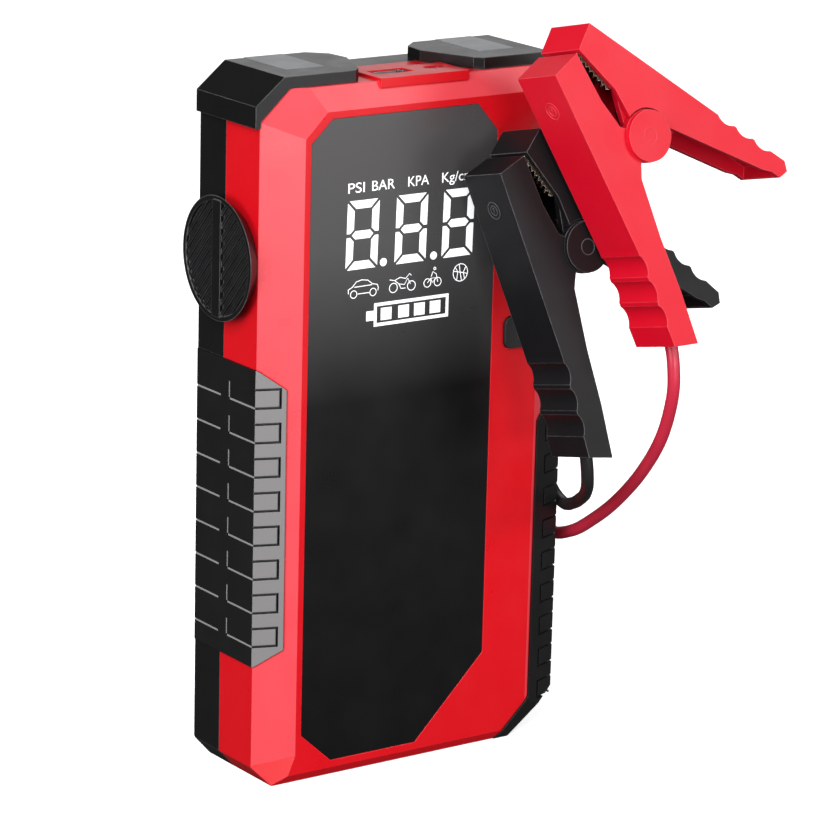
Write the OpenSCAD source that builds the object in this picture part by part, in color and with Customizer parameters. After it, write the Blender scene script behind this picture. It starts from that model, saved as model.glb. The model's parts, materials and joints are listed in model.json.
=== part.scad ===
// Jump starter pack with a built-in tyre pump, a lamp in each top corner and a pair of clamp leads.
// Millimetres. +Z is up, the front faces -Y, and the origin is the centre of the base.

/* [Pack] */
// Width across the two sides
pack_w = 113; // [94:1:136]
// Height from the base to the top face
pack_h = 215; // [179:1:258]
// Depth from the front plane to the back
pack_d = 40; // [38:1:48]
// Wall of the front frame and of the rear shell
wall = 2.2; // [1.8:0.1:2.8]
// Depth of the seam behind the middle of the pack
seam_y = 3; // [2:0.5:4]
// Gap between pieces that are laid into each other
seat_gap = 0.1; // [0.05:0.01:0.2]

/* [Face] */
// Width of the bevel down each side of the face
side_bevel_w = 13; // [9:0.5:14]
// How far that bevel falls back
side_bevel_d = 4.8; // [3:0.1:6]
// Height of the bevel along the top of the face
top_bevel_h = 7.2; // [5:0.1:9]
// How far the top bevel falls back
top_bevel_d = 3.1; // [2:0.1:4]
// Thickness of the face panel
panel_t = 1.5; // [1.2:0.1:2]
// Red margin to the left of the panel
panel_margin_left = 15.1; // [13.5:0.1:18]
// Red margin to the right of the panel, where the buttons are
panel_margin_right = 30.4; // [29:0.1:34]
// Width of the display module
display_w = 54; // [44:1:58]
// Height of the display module
display_h = 52; // [44:1:60]

/* [Buttons] */
// Width of a button
button_w = 10.4; // [8:0.1:11]
// Height of a button
button_h = 10; // [8:0.1:13]
// Distance between buttons
button_pitch = 18; // [15:0.5:20]
// Travel of a button
button_travel = 0.5; // [0.3:0.05:0.6]

/* [Grips and bumpers] */
// Height of the left grip
grip_h = 92.6; // [74:0.2:96]
// Height of the left grip above the base
grip_z = 38.4; // [34:0.2:46]
// Distance between the blocks of a grip
grip_pitch = 10.65; // [8.5:0.05:11]
// How far a grip stands out of the shells
grip_proud = 0.5; // [0.3:0.1:0.8]
// How deep a grip is let into the shells
grip_inlay = 1.1; // [0.8:0.1:1.3]
// Thickness of a corner bumper above the top face
bumper_t = 3.6; // [3:0.1:5]
// Width of a lamp lens
lens_w = 13.5; // [11:0.1:16]
// Length of a lamp lens
lens_l = 23; // [18:0.5:26]

/* [Air port] */
// Radius of the cap over the air outlet
cap_r = 19; // [16:0.1:19.2]
// Radius of the bore that the cap's skirt turns in
port_bore_r = 13; // [11:0.1:14]
// Running clearance of turning and sliding pieces
run_gap = 0.06; // [0.03:0.01:0.1]

/* [Pump] */
// Radius of the pump's bore
pump_bore_r = 7.5; // [6:0.1:8]
// Throw of the crank
crank_r = 4; // [3:0.1:4.5]
// Teeth of the pinion
pinion_teeth = 12; // [10:1:13]
// Teeth of the crank gear
gear_teeth = 36; // [30:1:36]
// Pitch radius of one tooth
tooth_r = 0.3; // [0.26:0.01:0.3]
// Radius of the motor
motor_r = 12; // [10:0.1:12]

/* [Battery] */
// Width of a cell
cell_w = 64; // [54:1:68]
// Thickness of a cell
cell_t = 8.8; // [7:0.1:9]
// Height of a cell
cell_h = 86; // [70:1:90]

/* [Start lead] */
// Diameter of each lead
lead_d = 4; // [3.6:0.1:4.4]
// Spacing of the two contacts
contact_pitch = 9; // [8:0.1:10]
// Radius of a contact pin
contact_r = 2; // [1.6:0.1:2.3]
// How far the plug stands out of the side
plug_proud = 13; // [12:0.5:15]

/* [Clamps] */
// Thickness of a clamp along its pivot
clamp_t = 19; // [16:0.5:19]
// Wall of the clamp shells
clamp_wall = 2; // [1.6:0.1:2.4]
// Radius of the pivot pin
pivot_r = 1.6; // [1.2:0.1:2]
// Radius of the pivot cap
pivot_cap_r = 7.8; // [7:0.1:8.4]
// How far a clamp leans back from upright
clamp_lean = 12.8; // [12:0.1:13.5]

/* [Hidden] */
$fn = 48;

red = "#dc1e2c";
black = "#1b1b1c";
steel = "#b9bcc0";
brass = "#c9a44c";
board_green = "#1f5a3a";

// Outer planes of the pack
half_w = pack_w / 2;
front_y = -pack_d / 2;
back_y = pack_d / 2;
past = 1;          // how far a cut runs past the face it opens
far = 400;         // longer than anything in the pack

// Corner cuts of the front outline, each as [across, up]
cut_top = [10, 9];
cut_right = [19.2, 13];
cut_left = [5.5, 6];
bottom_bevel = [2.8, 1.7];   // height and depth of the bevel under the face
back_bevel = 2.5;
face_t = 2.8;                // frame behind the face plane

// Flat part of the face: its outline and the slope of the bevel past each edge
face_x = half_w - side_bevel_w;
face_top = pack_h - top_bevel_h;
side_slope = side_bevel_d / side_bevel_w;
face_cut = 7.6;
face_outline = [
    [-face_x, bottom_bevel[0]], [face_x - 9.5, bottom_bevel[0]], [face_x, 11.5],
    [face_x, face_top - face_cut], [face_x - face_cut, face_top],
    [-face_x + face_cut, face_top], [-face_x, face_top - face_cut]
];
face_slopes = [
    bottom_bevel[1] / bottom_bevel[0], side_slope, side_slope, side_slope,
    top_bevel_d / top_bevel_h, side_slope
];
left_facet = [[-face_x, 8.8], [-face_x - 3.4, 0.8]];   // face edge of the facet over the left corner cut

// Face panel
panel_left = -half_w + panel_margin_left;
panel_right = half_w - panel_margin_right;
panel_bottom = 5.2;
panel_top = pack_h - 9.4;
panel_back = front_y + panel_t + seat_gap;

// Display and boards
display_x = (panel_left + panel_right) / 2 + 1.7;
display_z = pack_h - 53;
board_t = 1.6;
board_y = front_y + 6.2;
board_half_w = half_w - 10.5;
board_z = [pack_h - 109, pack_h - 7];
display_back = board_y - 0.2;

// Buttons, lowest first
button_x = half_w - 20.5;
button_z = [for (i = [0 : 2]) pack_h - 82 + i * button_pitch];
button_proud = 0.9;
button_r = 2.6;
button_gap = 0.2;
button_flange = 1;
button_flange_t = 0.8;
face_inner = front_y + face_t;
switch_t = 1.4;

// Screws that hold the rear shell to the frame
screw_x = half_w - 7;
screw_z = [20, pack_h - 24];
boss_r = 3.2;
screw_r = 1.2;
screw_head_r = 2.6;
screw_head_t = 1.6;
screw_sink = 1;
screw_reach = 7;

// Ports in the top edge
port_block = [[-16, front_y + 1.7, pack_h - 6], [16, front_y + 16.5, pack_h + 0.9]];
usb_y = board_y + board_t + 3.1;
usb_a_x = -6.5;
usb_a = [13.2, 5.9];
usb_c_x = 10.5;
usb_c = [9, 3.3];
usb_a_depth = 14;
usb_c_depth = 8;
usb_wall = 0.4;
usb_top = pack_h + 0.4;

// Air port and pump, which share one axis
port_y = 0.5;
port_z = pack_h - 52.5;
port_ring_r = port_bore_r + 2;
cap_gap = 0.5;
cap_t = 4;
cap_face = -half_w - cap_gap - cap_t;
cap_skirt_l = 5;
cap_rim = 1.6;
cap_bar_w = 4.5;
port_floor_x = -half_w + 7.5;
port_floor_t = 2;
nozzle_r = 4;

pump_head_x = -half_w + 17;
pump_head_t = 2.5;
pump_wall = 2;
pump_l = 24;
piston_l = 7;
piston_rest_x = pump_head_x + pump_head_t + 0.7 + 2 * crank_r;
rod_t = 3;
rod_l = 32;
rod_small_x = piston_rest_x + piston_l - 2.5;
gear_x = rod_small_x + rod_l - crank_r;
gear_z = port_z - 9;
gear_t = 4;
gear_r = gear_teeth * tooth_r;
pinion_r = pinion_teeth * tooth_r;
mesh_gap = 0.15;
motor_x = gear_x + gear_r + pinion_r;
motor_l = 30;
deck_t = 3;
deck_top = gear_z - 0.8;
axle_r = 1.5;
shaft_r = 1;

// Battery
tray_t = 1.6;
cell_gap = 0.5;
cell_z = 9;
cell_back = back_y - wall - 0.4 - tray_t;
cell_y = [for (i = [0 : 2]) cell_back - (3 - i) * (cell_t + cell_gap)];

// Start socket and plug
socket_y = 5.5;
socket_z = pack_h - 57;
socket_block = [14.4, contact_pitch + 12, 14];
barrel_r = contact_r + 1.3;
contact_y = [socket_y - contact_pitch / 2, socket_y + contact_pitch / 2];
plug_x = half_w + cap_gap;
plug_h = 14;
boot_x = half_w + 7.5;
boot_l = 10;
boot_top = socket_z - plug_h / 2;

// Clamps: pivot centres and the turn of each about its own pivot
red_pivot = [49.7, -53.8, 198.3];
black_pivot = [39, -39.3, 162.8];
red_turn = 0;
black_turn = -8;
ear_r = 8;
ear_gap = 0.3;

// Routes of the leads, from each boot to the end of its clamp handle
red_route = [
    [64, 10, 141], [64, 10, 131], [64, 11, 115], [64.5, 12, 95], [65, 12, 78], [65.5, 8, 65],
    [65.5, -2, 59.5], [66, -12, 62], [66, -22, 68], [64.5, -36, 78], [63, -50, 91], [61.5, -61, 105],
    [59.2, -68.3, 119.5], [58.4, -69.3, 129.5]
];
black_route = [
    [64, 1, 141], [64, 1, 131], [64, 2, 115], [64, 4, 98], [64, 3, 84], [63.5, -4, 75],
    [61, -14, 72.5], [56.5, -25, 76], [50.5, -36, 81], [45, -45.5, 86], [40.6, -52, 92.2]
];

// ---------- helpers ----------

// Extrudes an outline given as [x, z] between two depths
module prism_y(y0, y1) {
    translate([0, y1, 0]) rotate([90, 0, 0]) linear_extrude(y1 - y0) children();
}

// Extrudes an outline given as [y, z] between two widths
module prism_x(x0, x1) {
    translate([x0, 0, 0]) rotate([90, 0, 90]) linear_extrude(x1 - x0) children();
}

module box(low, high) {
    translate(low) cube(high - low);
}

module rod_x(x0, x1, r, at = [0, 0]) {
    translate([x0, at[0], at[1]]) rotate([0, 90, 0]) cylinder(h = x1 - x0, r = r);
}

module rod_y(y0, y1, r, at = [0, 0]) {
    translate([at[0], y1, at[1]]) rotate([90, 0, 0]) cylinder(h = y1 - y0, r = r);
}

module rod_z(z0, z1, r, at = [0, 0]) {
    translate([at[0], at[1], z0]) cylinder(h = z1 - z0, r = r);
}

module ring_z(h, outer, inner) {
    difference() {
        cylinder(h = h, r = outer);
        translate([0, 0, -past]) cylinder(h = h + 2 * past, r = inner);
    }
}

// Rounded rectangle centred on the origin
module round_rect(w, h, r) {
    square([w, h - 2 * r], center = true);
    square([w - 2 * r, h], center = true);
    for (x = [-1, 1], y = [-1, 1]) translate([x * (w / 2 - r), y * (h / 2 - r)]) circle(r);
}

// How much a corner cut with legs a and b shrinks when its outline is inset by g
function cut_scale(legs, g) =
    1 + g * (norm(legs) - legs[0] - legs[1]) / (legs[0] * legs[1]);

// Front outline of the pack, inset by g (outset when g is negative)
function pack_outline(g) =
    let (w = half_w - g, top = pack_h - g, t = cut_top * cut_scale(cut_top, g),
         r = cut_right * cut_scale(cut_right, g), l = cut_left * cut_scale(cut_left, g))
    [[-w + l[0], g], [w - r[0], g], [w, g + r[1]], [w, top - t[1]], [w - t[0], top],
     [-w + t[0], top], [-w, top - t[1]], [-w, g + l[1]]];

// Inset of a counter-clockwise outline by t, with mitred corners
function inset(points, t) =
    let (n = len(points), side = [for (i = [0 : n - 1])
        let (d = points[(i + 1) % n] - points[i]) [-d[1], d[0]] / norm(d)])
    [for (i = [0 : n - 1])
        let (a = side[(i + n - 1) % n], b = side[i]) points[i] + t * (a + b) / (1 + a * b)];

// Removes what lies in front of a bevel plane that starts on the edge from a to b of a face;
// way is 1 for the front face and -1 for the back
module bevel_cut(a, b, slope, face, way) {
    reach = 90;
    start = -8;
    angle = atan2(b[1] - a[1], b[0] - a[0]) - 90;
    translate([a[0], 0, a[1]]) rotate([0, -angle, 0])
        linear_extrude(2 * far, center = true)
            polygon([[start, face + way * start * slope], [reach, face + way * reach * slope],
                     [reach, face - way * far / 8], [start, face - way * far / 8]]);
}

module face_bevels(shift) {
    n = len(face_outline);
    for (i = [0 : n - 2])
        bevel_cut(face_outline[i], face_outline[i + 1], face_slopes[i], front_y + shift, 1);
    // the left bevel stops above the corner cut, where the face turns off on a facet of its own
    intersection() {
        bevel_cut(face_outline[n - 1], face_outline[0], side_slope, front_y + shift, 1);
        bevel_cut(left_facet[0], left_facet[1], 1.17 * side_slope, front_y + shift, 1);
    }
}

module back_bevels(shift) {
    edge = pack_outline(back_bevel);
    n = len(edge);
    // sides and corner cuts alternate round the outline; the corner cuts fall back more steeply
    for (i = [0 : n - 1])
        bevel_cut(edge[i], edge[(i + 1) % n], i % 2 == 0 ? 1 : 1.2, back_y - shift, -1);
}

// The pack as one solid, inset by g, from depth y0 to y1
module pack_solid(g, y0, y1) {
    difference() {
        prism_y(max(y0, front_y + g), min(y1, back_y - g)) polygon(pack_outline(g));
        if (y0 < 0) face_bevels(g * 1.07);
        if (y1 > 0) back_bevels(g * 1.41);
    }
}

// ---------- openings shared by the shells and what sits in them ----------

function panel_outline(g) = inset([
    [panel_left + 11, panel_bottom], [panel_right - 25.1, panel_bottom],
    [panel_right, panel_bottom + 25.3], [panel_right, panel_top - 8.6], [panel_right - 7.5, panel_top],
    [panel_left + 7.4, panel_top], [panel_left, panel_top - 6.9], [panel_left, panel_bottom + 9.9]
], g);

module port_opening() {
    rod_x(-half_w - 5, port_floor_x + port_floor_t + seat_gap, port_ring_r + seat_gap, [port_y, port_z]);
}

module socket_opening() {
    gap = 2 * seat_gap;
    box([half_w - socket_block[0] - gap, socket_y - socket_block[1] / 2 - gap,
         socket_z - socket_block[2] / 2 - gap],
        [half_w + 5, socket_y + socket_block[1] / 2 + gap, socket_z + socket_block[2] / 2 + gap]);
}

// Front outlines of the two grips
left_grip_outline = [
    [-half_w - 5, grip_z], [-half_w, grip_z], [-half_w + 8.7, grip_z + 5],
    [-half_w + 8.5, grip_z + grip_h - 6.3], [-half_w, grip_z + grip_h], [-half_w - 5, grip_z + grip_h]
];
right_grip_top = grip_z + grip_h - 15;
right_grip_outline = [
    [half_w - 24, 0], [half_w + 5, 0], [half_w + 5, right_grip_top], [half_w, right_grip_top],
    [half_w - 11.5, right_grip_top - 13], [half_w - 11.5, 12.5]
];
grip_back = back_y - back_bevel - 0.4;

module grip_pocket() {
    for (side = [left_grip_outline, right_grip_outline])
        difference() {
            prism_y(front_y - past, grip_back + seat_gap) polygon(inset(side, -seat_gap));
            pack_solid(grip_inlay, front_y, back_y);
        }
}

// ---------- casing ----------

module screw_places() {
    for (x = [-screw_x, screw_x], z = screw_z) translate([x, 0, z]) children();
}

// Tab of the frame's top that reaches back past the seam
module top_tab(g) {
    box([-20 - g, seam_y - past, pack_h - wall + 0.4 - g], [20 + g, seam_y + 3.4 + g, pack_h]);
}

module front_frame() color(red) {
    difference() {
        union() {
            difference() {
                pack_solid(0, front_y, seam_y);
                difference() {
                    prism_y(face_inner, seam_y + past) polygon(pack_outline(wall));
                    face_bevels(face_t);
                }
            }
            // bosses, kept half a wall back from the face and its bevels
            intersection() {
                screw_places() rod_y(face_inner - 0.5, seam_y, boss_r);
                pack_solid(face_t / 2, front_y, seam_y);
            }
            difference() {
                box(port_block[0], port_block[1]);
                prism_y(front_y, back_y) polygon(inset(pack_outline(0), wall - 0.2));
            }
            top_tab(0);
        }
        prism_y(front_y - past, panel_back) polygon(panel_outline(-seat_gap));
        box([display_x - display_w / 2 - seat_gap, front_y, display_z - display_h / 2 - seat_gap],
            [display_x + display_w / 2 + seat_gap, face_inner + past, display_z + display_h / 2 + seat_gap]);
        for (z = button_z) translate([button_x, 0, z])
            prism_y(front_y - past, face_inner + past)
                round_rect(button_w + 2 * button_gap, button_h + 2 * button_gap, button_r);
        screw_places() rod_y(seam_y - screw_reach, seam_y + past, screw_r + 0.02);
        translate([usb_a_x, usb_y, 0]) box([-usb_a[0] / 2 - seat_gap, -usb_a[1] / 2 - seat_gap, pack_h - 8],
            [usb_a[0] / 2 + seat_gap, usb_a[1] / 2 + seat_gap, pack_h + 5]);
        translate([usb_c_x, usb_y, pack_h - 8])
            linear_extrude(13) round_rect(usb_c[0] + 2 * seat_gap, usb_c[1] + 2 * seat_gap, 1.5);
        port_opening();
        socket_opening();
        grip_pocket();
    }
}

// Vent slots over the pump, in the back wall
vent_n = 6;
vent_pitch = 5;
vent_w = 26;

module rear_shell() color(black) {
    lip = 1.1;
    lip_gap = 0.15;
    difference() {
        union() {
            difference() {
                pack_solid(0, seam_y, back_y);
                prism_y(seam_y - past, back_y - wall) polygon(pack_outline(wall));
            }
            difference() {
                union() {
                    prism_y(seam_y - 2, seam_y + past) polygon(pack_outline(wall + lip_gap));
                    prism_y(seam_y + 0.5, seam_y + 3) polygon(pack_outline(wall - 0.3));
                }
                prism_y(seam_y - 3, seam_y + 4) polygon(pack_outline(wall + lip_gap + lip));
            }
            screw_places() rod_y(seam_y + seat_gap, back_y - wall + 0.5, boss_r);
        }
        top_tab(seat_gap);
        screw_places() {
            rod_y(seam_y - past, back_y + past, screw_r + 0.3);
            rod_y(back_y - screw_sink - screw_head_t, back_y + past, screw_head_r + 0.2);
        }
        screw_places() rod_y(seam_y - 3, seam_y + seat_gap, boss_r + 0.3);
        for (i = [0 : vent_n - 1]) translate([motor_x, 0, port_z - 35 + i * vent_pitch])
            prism_y(back_y - wall - past, back_y + past) round_rect(vent_w, 2, 0.9);
        port_opening();
        socket_opening();
        grip_pocket();
    }
}

module face_panel() color("#1e1e20") {
    prism_y(front_y + 0.1, panel_back) polygon(panel_outline(0));
}

module display_module() color("#2c2d30") {
    box([display_x - display_w / 2, panel_back + 0.05, display_z - display_h / 2],
        [display_x + display_w / 2, display_back, display_z + display_h / 2]);
}

// ---------- grips ----------

// Z of the lower edge of each block, from the top down
left_blocks = [for (i = [0 : floor((grip_h - 11) / grip_pitch)]) grip_z + grip_h - 11.2 - i * grip_pitch];
right_blocks = [
    for (i = [0 : floor((right_grip_top - 24) / grip_pitch)]) right_grip_top - 20 - i * grip_pitch
];
block_h = 5;
block_w = 6.4;
groove = 0.7;

// One grip block: a raised pad on the bevel inside a groove, and the grooves down the side;
// side is -1 on the left and 1 on the right
module block_grooves(side, z) {
    x0 = side * half_w;
    // round the pad
    difference() {
        prism_y(front_y - past, front_y + side_bevel_d)
            polygon([[x0 + side, z - groove], [x0 + side, z + block_h + groove],
                     [x0 - side * (block_w + groove), z + block_h + groove],
                     [x0 - side * (block_w + groove), z - groove]]);
        prism_y(front_y - 2, front_y + side_bevel_d + 1)
            polygon([[x0 + 2 * side, z], [x0 + 2 * side, z + block_h],
                     [x0 - side * block_w, z + block_h], [x0 - side * block_w, z]]);
        pack_solid(0.3, front_y, back_y);
    }
    // down the side: a tick that turns into a line to the pad, and a dash behind it
    for (part = [[[-16, z - groove], [-0.8, z]], [[-0.8 - groove, z - groove], [-0.8, z + block_h]],
                 [[3.6, z - groove], [grip_back + past, z]]])
        prism_x(min(x0, x0 + side * 3), max(x0, x0 + side * 3))
            polygon([part[0], [part[1][0], part[0][1]], part[1], [part[0][0], part[1][1]]]);
}

module grip(outline, blocks, side) {
    difference() {
        intersection() {
            prism_y(front_y - 2, grip_back) polygon(outline);
            difference() {
                pack_solid(-grip_proud, front_y - 2, back_y);
                pack_solid(grip_inlay, front_y, back_y);
            }
        }
        for (z = blocks) block_grooves(side, z);
    }
}

module left_grip() color("#232325") grip(left_grip_outline, left_blocks, -1);

module right_grip() color("#232325") grip(right_grip_outline, right_blocks, 1);

// ---------- corner bumpers and lamps ----------

lens_x = half_w - 28.2 + 6.75;
lens_y = 5.5;
lens_t = 1.5;
bumper_top = pack_h + bumper_t;
bumper_front = front_y + 4.3;

module left_bumper() {
    difference() {
        intersection() {
            prism_y(bumper_front, back_y - 3)
                polygon([[-half_w - 1.8, pack_h - 11], [-half_w, pack_h - 11],
                         [-half_w, pack_h - cut_top[1]], [-half_w + cut_top[0], pack_h],
                         [-13.5, pack_h], [-13.5, bumper_top], [-half_w + 8, bumper_top],
                         [-half_w - 1.8, pack_h - 4.4]]);
            linear_extrude(2 * pack_h)
                polygon([[-half_w - 5, bumper_front], [-23.5, bumper_front], [-21, bumper_front + 2.2],
                         [-13.5, 4], [-14.5, 12], [-20, back_y - 3], [-half_w - 5, back_y - 3]]);
        }
        translate([-lens_x, lens_y, bumper_top - lens_t])
            linear_extrude(5) square([lens_w + 2 * seat_gap, lens_l + 2 * seat_gap], center = true);
        translate([-lens_x, lens_y, pack_h - past])
            linear_extrude(10) square([lens_w - 3, lens_l - 3], center = true);
    }
}

module corner_bumper_left() color(black) left_bumper();

module corner_bumper_right() color(black) mirror([1, 0, 0]) left_bumper();

module lamp_lens(side) {
    translate([side * lens_x, lens_y, bumper_top - lens_t])
        linear_extrude(lens_t + 0.15) square([lens_w, lens_l], center = true);
}

module lamp_lens_left() color("#8d8f92") lamp_lens(-1);

module lamp_lens_right() color("#8d8f92") lamp_lens(1);

module lamp_boards() color("#e8e8e2") {
    for (side = [-1, 1]) translate([side * lens_x, lens_y, pack_h + 0.05]) {
        linear_extrude(0.8) square([lens_w - 3.4, lens_l - 3.4], center = true);
        for (y = [-6, 0, 6]) translate([-1.75, y - 1.75, 0.7]) cube([3.5, 3.5, 0.9]);
    }
}

// ---------- top ports ----------

module usb_shell(size, depth, r) {
    difference() {
        linear_extrude(depth) round_rect(size[0], size[1], r);
        translate([0, 0, usb_wall])
            linear_extrude(depth)
                round_rect(size[0] - 2 * usb_wall, size[1] - 2 * usb_wall, r - usb_wall / 2);
    }
}

module usb_a_socket() color(steel) translate([usb_a_x, usb_y, usb_top - usb_a_depth])
    usb_shell(usb_a, usb_a_depth, 0.6);

module usb_a_tongue() color("#f2f2f0") translate([usb_a_x, usb_y + 1.1, usb_top - usb_a_depth + usb_wall])
    linear_extrude(usb_a_depth - 1.5) square([usb_a[0] - 2.4, 1.6], center = true);

module usb_c_socket() color(steel) translate([usb_c_x, usb_y, usb_top - usb_c_depth])
    usb_shell(usb_c, usb_c_depth, 1.5);

module usb_c_tongue() color("#202022") translate([usb_c_x, usb_y, usb_top - usb_c_depth + usb_wall])
    linear_extrude(usb_c_depth - 1.5) square([usb_c[0] - 2.6, 0.7], center = true);

// ---------- buttons and boards ----------

module button(i) {
    translate([button_x, 0, button_z[i]]) {
        prism_y(front_y - button_proud, face_inner + 0.2) round_rect(button_w, button_h, button_r);
        prism_y(face_inner + 0.05, face_inner + 0.05 + button_flange_t)
            round_rect(button_w + 2 * button_flange, button_h + 2 * button_flange, button_r);
        rod_y(face_inner + 0.5, board_y - switch_t - button_travel - 0.05, 2);
    }
}

module button_top() color(black) button(2);

module button_middle() color(black) button(1);

module button_bottom() color(black) button(0);

module button_switches() color(steel) {
    for (z = button_z) translate([button_x, 0, z]) prism_y(board_y - switch_t, board_y)
        square([5.2, 5.2], center = true);
}

module main_board() color(board_green) {
    difference() {
        box([-board_half_w, board_y, board_z[0]], [board_half_w, board_y + board_t, board_z[1]]);
        for (x = [-1, 1], z = board_z) rod_y(board_y - past, board_y + board_t + past, 1.6,
            [x * (board_half_w - 4), z + (z == board_z[0] ? 4 : -4)]);
    }
}

// ---------- battery ----------

module battery_cell(i) {
    box([-cell_w / 2, cell_y[i], cell_z], [cell_w / 2, cell_y[i] + cell_t, cell_z + cell_h]);
}

module battery_cell_front() color("#3f6fa8") battery_cell(0);

module battery_cell_middle() color("#3f6fa8") battery_cell(1);

module battery_cell_back() color("#3f6fa8") battery_cell(2);

module battery_tray() color("#2a2a2c") {
    low = [-cell_w / 2 - tray_t - cell_gap, cell_y[0] - 0.5, cell_z - tray_t - cell_gap];
    high = [cell_w / 2 + tray_t + cell_gap, cell_back + tray_t, cell_z + cell_h];
    difference() {
        box(low, high);
        box([low[0] + tray_t, low[1] - past, low[2] + tray_t], [high[0] - tray_t, cell_back, high[2] + past]);
    }
}

module battery_board() color(board_green) {
    box([-cell_w / 2 + 2, cell_y[0] + 2, cell_z + cell_h + 1],
        [cell_w / 2 - 2, cell_back - 2, cell_z + cell_h + 2.6]);
}

// ---------- pump ----------

// Outline of a spur gear with straight-sided teeth; the first tooth or gap points along +X
function gear_outline(teeth, r, phase) =
    let (add = 2 * tooth_r * 0.9, ded = 2 * tooth_r * 1.15, step = 360 / teeth)
    [for (i = [0 : teeth - 1], k = [[-0.31, -ded], [-0.12, add], [0.12, add], [0.31, -ded]])
        let (a = (i + phase + k[0]) * step, q = r - mesh_gap / 2 + k[1]) q * [cos(a), sin(a)]];

module pump_motor() color("#8f9398") translate([motor_x, port_y, deck_top - deck_t - motor_l - 0.1])
    ring_z(motor_l, motor_r, shaft_r + run_gap);

module motor_shaft() color(steel)
    rod_z(deck_top - deck_t - motor_l + 2, gear_z + gear_t + 1.2, shaft_r, [motor_x, port_y]);

module pinion() color(brass) translate([motor_x, port_y, gear_z - 0.2]) difference() {
    linear_extrude(gear_t + 0.6) polygon(gear_outline(pinion_teeth, pinion_r, 0.5));
    translate([0, 0, -past]) cylinder(h = gear_t + 3, r = shaft_r);
}

module crank_gear() color("#e6e2d4") translate([gear_x, port_y, gear_z]) {
    difference() {
        union() {
            linear_extrude(gear_t) polygon(gear_outline(gear_teeth, gear_r, 0));
            translate([0, 0, gear_t - 0.5]) cylinder(h = 1.3, r = 6.5);
        }
        translate([0, 0, -past]) cylinder(h = gear_t + 3, r = axle_r + run_gap);
    }
    translate([crank_r, 0, gear_t]) cylinder(h = port_z - rod_t / 2 - 0.5 - gear_z - gear_t, r = 1.9);
}

module gear_axle() color(steel)
    rod_z(deck_top - deck_t, gear_z + gear_t + 0.7, axle_r, [gear_x, port_y]);

module pump_housing() color("#a7abb0") {
    difference() {
        union() {
            rod_x(pump_head_x, pump_head_x + pump_l, pump_bore_r + pump_wall, [port_y, port_z]);
            box([pump_head_x, port_y - 6, deck_top - deck_t],
                [pump_head_x + pump_l, port_y + 6, port_z - pump_bore_r]);
            box([pump_head_x, port_y - 11, deck_top - deck_t],
                [motor_x + motor_r, port_y + 11, deck_top]);
        }
        rod_x(pump_head_x + pump_head_t, pump_head_x + pump_l + past, pump_bore_r + run_gap,
            [port_y, port_z]);
        rod_x(pump_head_x - past, pump_head_x + pump_l, nozzle_r - 1, [port_y, port_z]);
        rod_z(deck_top - deck_t - past, deck_top + past, 3, [motor_x, port_y]);
        rod_z(deck_top - deck_t - past, deck_top + past, axle_r, [gear_x, port_y]);
    }
}

module pump_piston() color("#d8d4c8") difference() {
    rod_x(piston_rest_x, piston_rest_x + piston_l, pump_bore_r, [port_y, port_z]);
    box([piston_rest_x + 2, port_y - 3.1, port_z - rod_t / 2 - 0.05],
        [piston_rest_x + piston_l + past, port_y + 3.1, port_z + rod_t / 2 + 0.05]);
}

module connecting_rod() color("#c4c6c9") translate([0, port_y, port_z - rod_t / 2]) difference() {
    union() {
        translate([rod_small_x, -2.4, 0]) cube([rod_l, 4.8, rod_t]);
        translate([rod_small_x, 0, 0]) cylinder(h = rod_t, r = 2.45);
        translate([rod_small_x + rod_l, 0, 0]) cylinder(h = rod_t, r = 4.2);
    }
    translate([rod_small_x + rod_l, 0, -past]) cylinder(h = rod_t + 2 * past, r = 2.1);
}

module air_nozzle() color(brass) difference() {
    union() {
        rod_x(-half_w + 2, pump_head_x - 1.9, nozzle_r, [port_y, port_z]);
        rod_x(pump_head_x - 3, pump_head_x, nozzle_r + 1.6, [port_y, port_z]);
    }
    rod_x(-half_w, pump_head_x + past, 1.6, [port_y, port_z]);
}

module port_ring() color(black) difference() {
    rod_x(-half_w + 0.2, port_floor_x + port_floor_t, port_ring_r, [port_y, port_z]);
    rod_x(-half_w - past, port_floor_x, port_bore_r, [port_y, port_z]);
    rod_x(-half_w, port_floor_x + port_floor_t + past, nozzle_r + seat_gap, [port_y, port_z]);
}

module nozzle_seal() color("#3a3a3c") translate([port_floor_x - 1, port_y, port_z]) rotate([0, 90, 0])
    rotate_extrude() translate([nozzle_r + 1.05, 0]) circle(r = 0.95, $fn = 24);

module air_cap() color(black) translate([cap_face, port_y, port_z]) rotate([0, 90, 0]) {
    rib_pitch = 2.6;
    // disc with its rim at the outer face, narrowing towards the pack
    difference() {
        cylinder(h = cap_t, r1 = cap_r, r2 = cap_r - 3);
        translate([0, 0, -past]) cylinder(h = 1.1 + past, r = cap_r - cap_rim);
        translate([0, 0, cap_t - 1.6]) cylinder(h = cap_t, r = port_bore_r - run_gap - 2);
    }
    // finger bar
    intersection() {
        translate([-cap_r, -cap_bar_w / 2, -0.3]) cube([2 * cap_r, cap_bar_w, 1.6]);
        translate([0, 0, -past]) cylinder(h = 4, r = cap_r - 1.2);
    }
    // slanted ribs on both sides of the bar
    intersection() {
        union() for (i = [-6 : 6]) rotate([0, 0, 42])
            translate([-cap_r, i * rib_pitch - 0.55, 0.25]) cube([2 * cap_r, 1.1, 1.2]);
        translate([0, 0, 0.2]) cylinder(h = 1.2, r = cap_r - cap_rim + 0.2);
    }
    // skirt
    translate([0, 0, cap_t - 0.5])
        ring_z(cap_skirt_l + 0.5, port_bore_r - run_gap, port_bore_r - run_gap - 2);
}

// ---------- start socket, plug and leads ----------

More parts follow.
